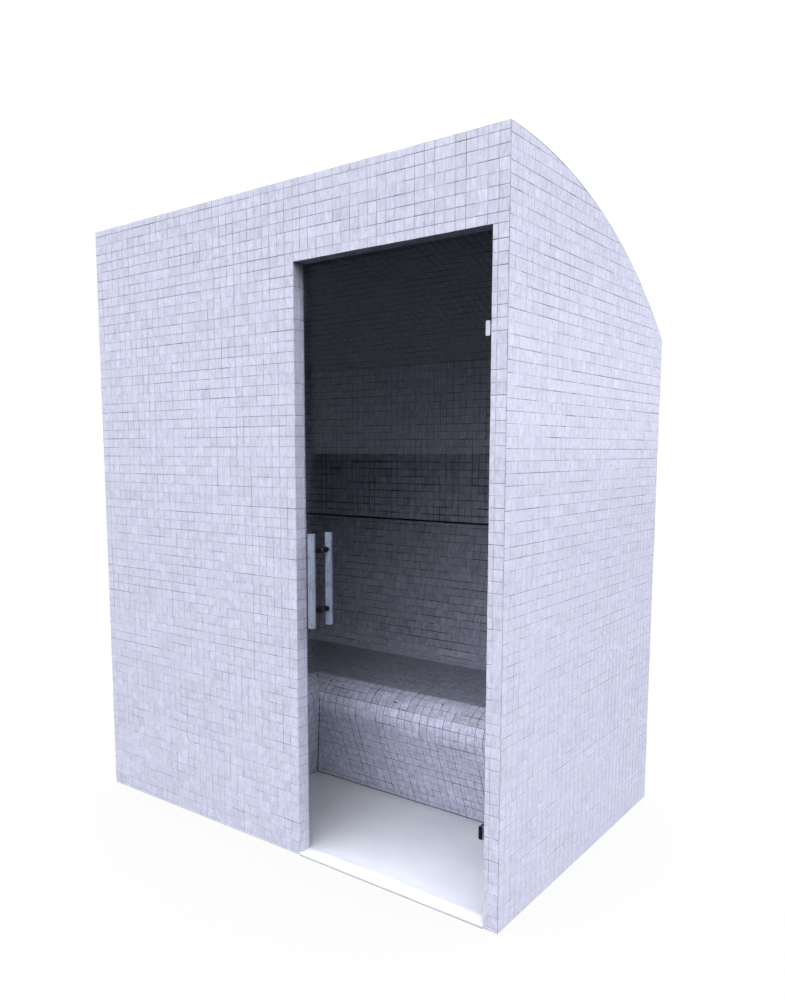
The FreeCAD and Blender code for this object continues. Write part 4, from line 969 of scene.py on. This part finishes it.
right_room = Plane(-Y, Z, -ROOM_RIGHT)
reveal = span("right_inner_mosaic", "Y")[0]
build = Build()
lay_bed(
    build,
    right_room,
    [
        (-ROOM_BACK, FLOOR),
        (-reveal, FLOOR),
        (-reveal, DOOR_TOP),
        (ROOM_BACK, DOOR_TOP),
    ]
    + arched(ROOM, FLOOR, lambda u: ceiling_at(-u))[2:],
)
right_grid = (HALF_DEPTH, FRONT_ROWS)
vaulted = under(lambda u: ceiling_at(-u))
for across, upward in (
    ((-ROOM_BACK, HALF_DEPTH - LAP), (FLOOR, DOOR_TOP)),
    (ROOM, (DOOR_TOP, FRONT_TOP)),
):
    lay_tiles(build, right_room, across, upward, right_grid, vaulted, look=ROOM_TILE, gap=ROOM_GAP)
room_tiled(build, "right_inner_tiles", "right_inner_mosaic")

front_room = Plane(-X, Z, -ROOM_BACK)
front_head = ceiling_at(-ROOM_BACK)
build = Build()
lay_bed(
    build,
    front_room,
    [
        (-ROOM_RIGHT, DOOR_TOP + LAP),
        (-DOOR_LEFT + LAP, DOOR_TOP + LAP),
        (-DOOR_LEFT + LAP, FLOOR),
        (ROOM_RIGHT, FLOOR),
        (ROOM_RIGHT, front_head),
        (-ROOM_RIGHT, front_head),
    ],
)
room_grid = (-ROOM_RIGHT, FRONT_ROWS)
for across, low in (((-DOOR_LEFT, ROOM_RIGHT), FLOOR), ((-ROOM_RIGHT, -DOOR_LEFT), DOOR_TOP)):
    lay_tiles(build, front_room, across, (low, front_head), room_grid, look=ROOM_TILE, gap=ROOM_GAP)
room_tiled(build, "front_inner_tiles", "front_inner_mosaic")

first_turn = math.asin((-ROOM_BACK - ROOF_CENTRE[0]) / CEILING_RADIUS)
last_turn = math.asin((ROOM_BACK - ROOF_CENTRE[0]) / CEILING_RADIUS)
turns = np.linspace(first_turn, last_turn, VAULT_POINTS)
vault_outs = [-math.sin(t) * Y - math.cos(t) * Z for t in turns]
vault_points = [ROOF_CENTRE[0] * Y + ROOF_CENTRE[1] * Z - CEILING_RADIUS * out for out in vault_outs]
ceiling = Swept(-X, vault_points, vault_outs)
build = Build()
lay_swept_bed(build, ceiling, lambda v: -ROOM_RIGHT, lambda v: ROOM_RIGHT)
vault_rows = (0.0, ceiling.lengths[-1])
# The vault is laid in the darkest copy of the glaze: painted shade.
lay_tiles(build, ceiling, WIDTH, vault_rows, (-ROOM_RIGHT, 0.0), look=DEEP_SHADE_TILE, gap=WALL_GAP)
room_tiled(build, "ceiling_tiles", "ceiling_mosaic")

# Bench: one profile along the back wall and along the left wall, mitred in the corner


def bench_profile():
    """Places (reach from the wall, height) and outward directions from the foot to the backrest's top."""
    nose = np.array((BENCH_NOSE_REACH, BENCH_SEAT_HEIGHT - BENCH_NOSE_RADIUS))
    seat_turn = math.pi / 2 - BENCH_SEAT_FALL
    samples = []

    def facing(turn):
        return np.array((math.cos(turn), math.sin(turn)))

    under_nose = nose + BENCH_NOSE_RADIUS * facing(-BENCH_FRONT_RAKE)
    drop = under_nose[1] - FLOOR
    foot = under_nose - drop * np.array((math.tan(BENCH_FRONT_RAKE), 1.0))
    samples.append((foot, facing(-BENCH_FRONT_RAKE)))
    for turn in np.linspace(-BENCH_FRONT_RAKE, seat_turn, NOSE_POINTS):
        samples.append((nose + BENCH_NOSE_RADIUS * facing(turn), facing(turn)))
    seat = samples[-1][0]
    rest_top = np.array((BACKREST_LEDGE, BACKREST_TOP))
    across = np.array((facing(seat_turn), facing(BACKREST_RECLINE)))
    levels = np.array((facing(seat_turn) @ seat, facing(BACKREST_RECLINE) @ rest_top)) + COVING_RADIUS
    hollow = np.linalg.solve(across, levels)
    for turn in np.linspace(seat_turn, BACKREST_RECLINE, COVING_POINTS):
        samples.append((hollow - COVING_RADIUS * facing(turn), facing(turn)))
    samples.append((rest_top, facing(BACKREST_RECLINE)))
    return samples


profile = bench_profile()
back_bench = Swept(
    X,
    [(ROOM_BACK - reach) * Y + height * Z for (reach, height), _ in profile],
    [-out * Y + rise * Z for _, (out, rise) in profile],
)


def back_mitre(v):
    """Where the back run meets the left run, at length v up the profile."""
    return -ROOM_RIGHT + ROOM_BACK - float(np.interp(v, back_bench.lengths, back_bench.points[:, 1]))


seat_joint, hollow_start = back_bench.lengths[NOSE_POINTS : NOSE_POINTS + 2]
nose_joint = seat_joint - NOSE_ROWS * PITCH
hollow_joint = seat_joint + PITCH * math.floor((hollow_start - seat_joint) / PITCH)
# Painted light and shade by rows: the bench front in the lighter bench glaze, the nose top and the
# backrest in the darker room glaze, the seat in the darkest.
bench_rows = (
    ((FOOT_JOINT, nose_joint), TILE, BENCH_GAP),
    ((nose_joint, seat_joint), ROOM_TILE, BENCH_GAP),
    ((seat_joint, hollow_joint), DEEP_SHADE_TILE, ROOM_GAP),
    ((hollow_joint, back_bench.lengths[-1]), ROOM_TILE, ROOM_GAP),
)
build = Build()
lay_swept_bed(build, back_bench, back_mitre, lambda v: ROOM_RIGHT)
back_grid = (-ROOM_RIGHT, seat_joint)
stop = right_of(lambda v: back_mitre(v) + (CORNER_JOINT if v < nose_joint else 0.0))
for rows, look, gap in bench_rows:
    lay_tiles(build, back_bench, WIDTH, rows, back_grid, stop, look=look, gap=gap)
# The ledge is a bare bed of the dark room grout: a painted shadow line along the top of the backrest.
back_ledge = Plane(X, Y, BACKREST_TOP)
ledge_run = (-ROOM_RIGHT + BACKREST_LEDGE, ROOM_RIGHT)
lay_bed(build, back_ledge, rectangle(ledge_run, (ROOM_BACK - BACKREST_LEDGE + LAP, ROOM_BACK)))
room_tiled(build, "back_bench_tiles", "back_bench_mosaic")

left_bench = Swept(
    Y,
    [(-ROOM_RIGHT + reach) * X + height * Z for (reach, height), _ in profile],
    [out * X + rise * Z for _, (out, rise) in profile],
)


def left_mitre(v):
    """Where the left run meets the back run, at length v up the profile."""
    return ROOM_BACK - ROOM_RIGHT - float(np.interp(v, left_bench.lengths, left_bench.points[:, 0]))


build = Build()
lay_swept_bed(build, left_bench, lambda v: -ROOM_BACK, left_mitre)
left_grid = (-ROOM_BACK, seat_joint)
stop = left_of(lambda v: left_mitre(v) - (CORNER_JOINT if v < nose_joint else 0.0))
# The left bench front takes the darker room glaze as well: painted shadow.
for rows, look, gap in bench_rows:
    lay_tiles(build, left_bench, ROOM, rows, left_grid, stop, look=max(look, ROOM_TILE), gap=gap)
# The ledge is a bare bed of the dark room grout: a painted shadow line along the top of the backrest.
left_ledge = Plane(Y, -X, BACKREST_TOP)
lay_bed(build, left_ledge, rectangle(ROOM, (ROOM_RIGHT - BACKREST_LEDGE + LAP, ROOM_RIGHT)))
room_tiled(build, "left_bench_tiles", "left_bench_mosaic")

# Stage: pale floor, soft light that grows towards overhead, and the camera
FLOOR_REACH = 300.0
FLOOR_DROP = 0.0006
FLOOR_GLOW = 0.91  # as the camera sees it
FLOOR_GREY = 0.026  # as it lights the cabin
FLOOR_IN_METAL = 0.004  # and as metal and glass mirror it
SKY_EDGE = 0.1  # light from the horizon
SKY_TOP = 8.4  # and from overhead
SKY_CLIMB = 2.0  # power of the height by which it grows
SKY_RIGHT = 0.16  # share that the right has more than the middle
SKY_IN_GLOSS = 0.22  # least sky that metal and glass mirror
GLOSS_FALL = 13.0  # how fast it falls to that above the horizon

floor_mesh = bpy.data.meshes.new("stage_floor")
reach = (-FLOOR_REACH, FLOOR_REACH)
floor_mesh.from_pydata([(x, y, -FLOOR_DROP) for x, y in rectangle(reach, reach)], [], [(0, 1, 2, 3)])
stage_floor = bpy.data.objects.new("stage_floor", floor_mesh)
scene.collection.objects.link(stage_floor)

floor_look, tree, shader = material("stage_floor")
shader.inputs["Roughness"].default_value = 1.0
shader.inputs["Specular IOR Level"].default_value = 0.0
ray = tree.nodes.new("ShaderNodeLightPath").outputs
plain = arithmetic(tree, "MAXIMUM", ray["Is Camera Ray"], ray["Is Transmission Ray"])
white = arithmetic(tree, "MULTIPLY", plain, FLOOR_GLOW)
grey = arithmetic(tree, "MULTIPLY_ADD", ray["Is Glossy Ray"], FLOOR_IN_METAL - FLOOR_GREY, FLOOR_GREY)
tree.links.new(grey, shader.inputs["Base Color"])
shader.inputs["Emission Color"].default_value = (1.0, 1.0, 1.0, 1.0)
tree.links.new(white, shader.inputs["Emission Strength"])
floor_mesh.materials.append(floor_look)

world = bpy.data.worlds.new("soft_sky")
scene.world = world
world.use_nodes = True
tree = world.node_tree
ray = tree.nodes.new("ShaderNodeLightPath").outputs
plain = arithmetic(tree, "MAXIMUM", ray["Is Camera Ray"], ray["Is Transmission Ray"])
unseen = arithmetic(tree, "SUBTRACT", 1.0, arithmetic(tree, "MAXIMUM", plain, ray["Is Glossy Ray"]))
height = arithmetic(tree, "MAXIMUM", axis_of(tree, "Z", "Generated"), 0.0)
climb = arithmetic(tree, "POWER", height, SKY_CLIMB)
fall = arithmetic(tree, "MULTIPLY_ADD", climb, -GLOSS_FALL, 1.0)
faded = arithmetic(tree, "MAXIMUM", fall, SKY_IN_GLOSS)
mirrored = arithmetic(tree, "MULTIPLY", faded, ray["Is Glossy Ray"])
overhead = arithmetic(tree, "MULTIPLY_ADD", climb, SKY_TOP - SKY_EDGE, SKY_EDGE)
tilt = arithmetic(tree, "MULTIPLY_ADD", axis_of(tree, "X", "Generated"), SKY_RIGHT, 1.0)
light = arithmetic(tree, "MULTIPLY", overhead, tilt)
strength = arithmetic(tree, "MULTIPLY_ADD", light, unseen, arithmetic(tree, "ADD", plain, mirrored))
sky = tree.nodes["Background"]
sky.inputs["Color"].default_value = (1.0, 1.0, 1.0, 1.0)
tree.links.new(strength, sky.inputs["Strength"])

scene.view_settings.view_transform = "Standard"
scene.cycles.diffuse_bounces = 1
scene.cycles.transparent_max_bounces = 32

camera_data = bpy.data.cameras.new("camera")
camera_data.sensor_width = 36.0
camera_data.lens = 29.62
camera_data.shift_x = 0.0111
camera_data.shift_y = 0.0472
camera = bpy.data.objects.new("camera", camera_data)
camera.location = (1.967, -2.535, 1.365)
camera.rotation_euler = (math.radians(83.34), 0.0, math.radians(37.30))
scene.collection.objects.link(camera)
scene.camera = camera
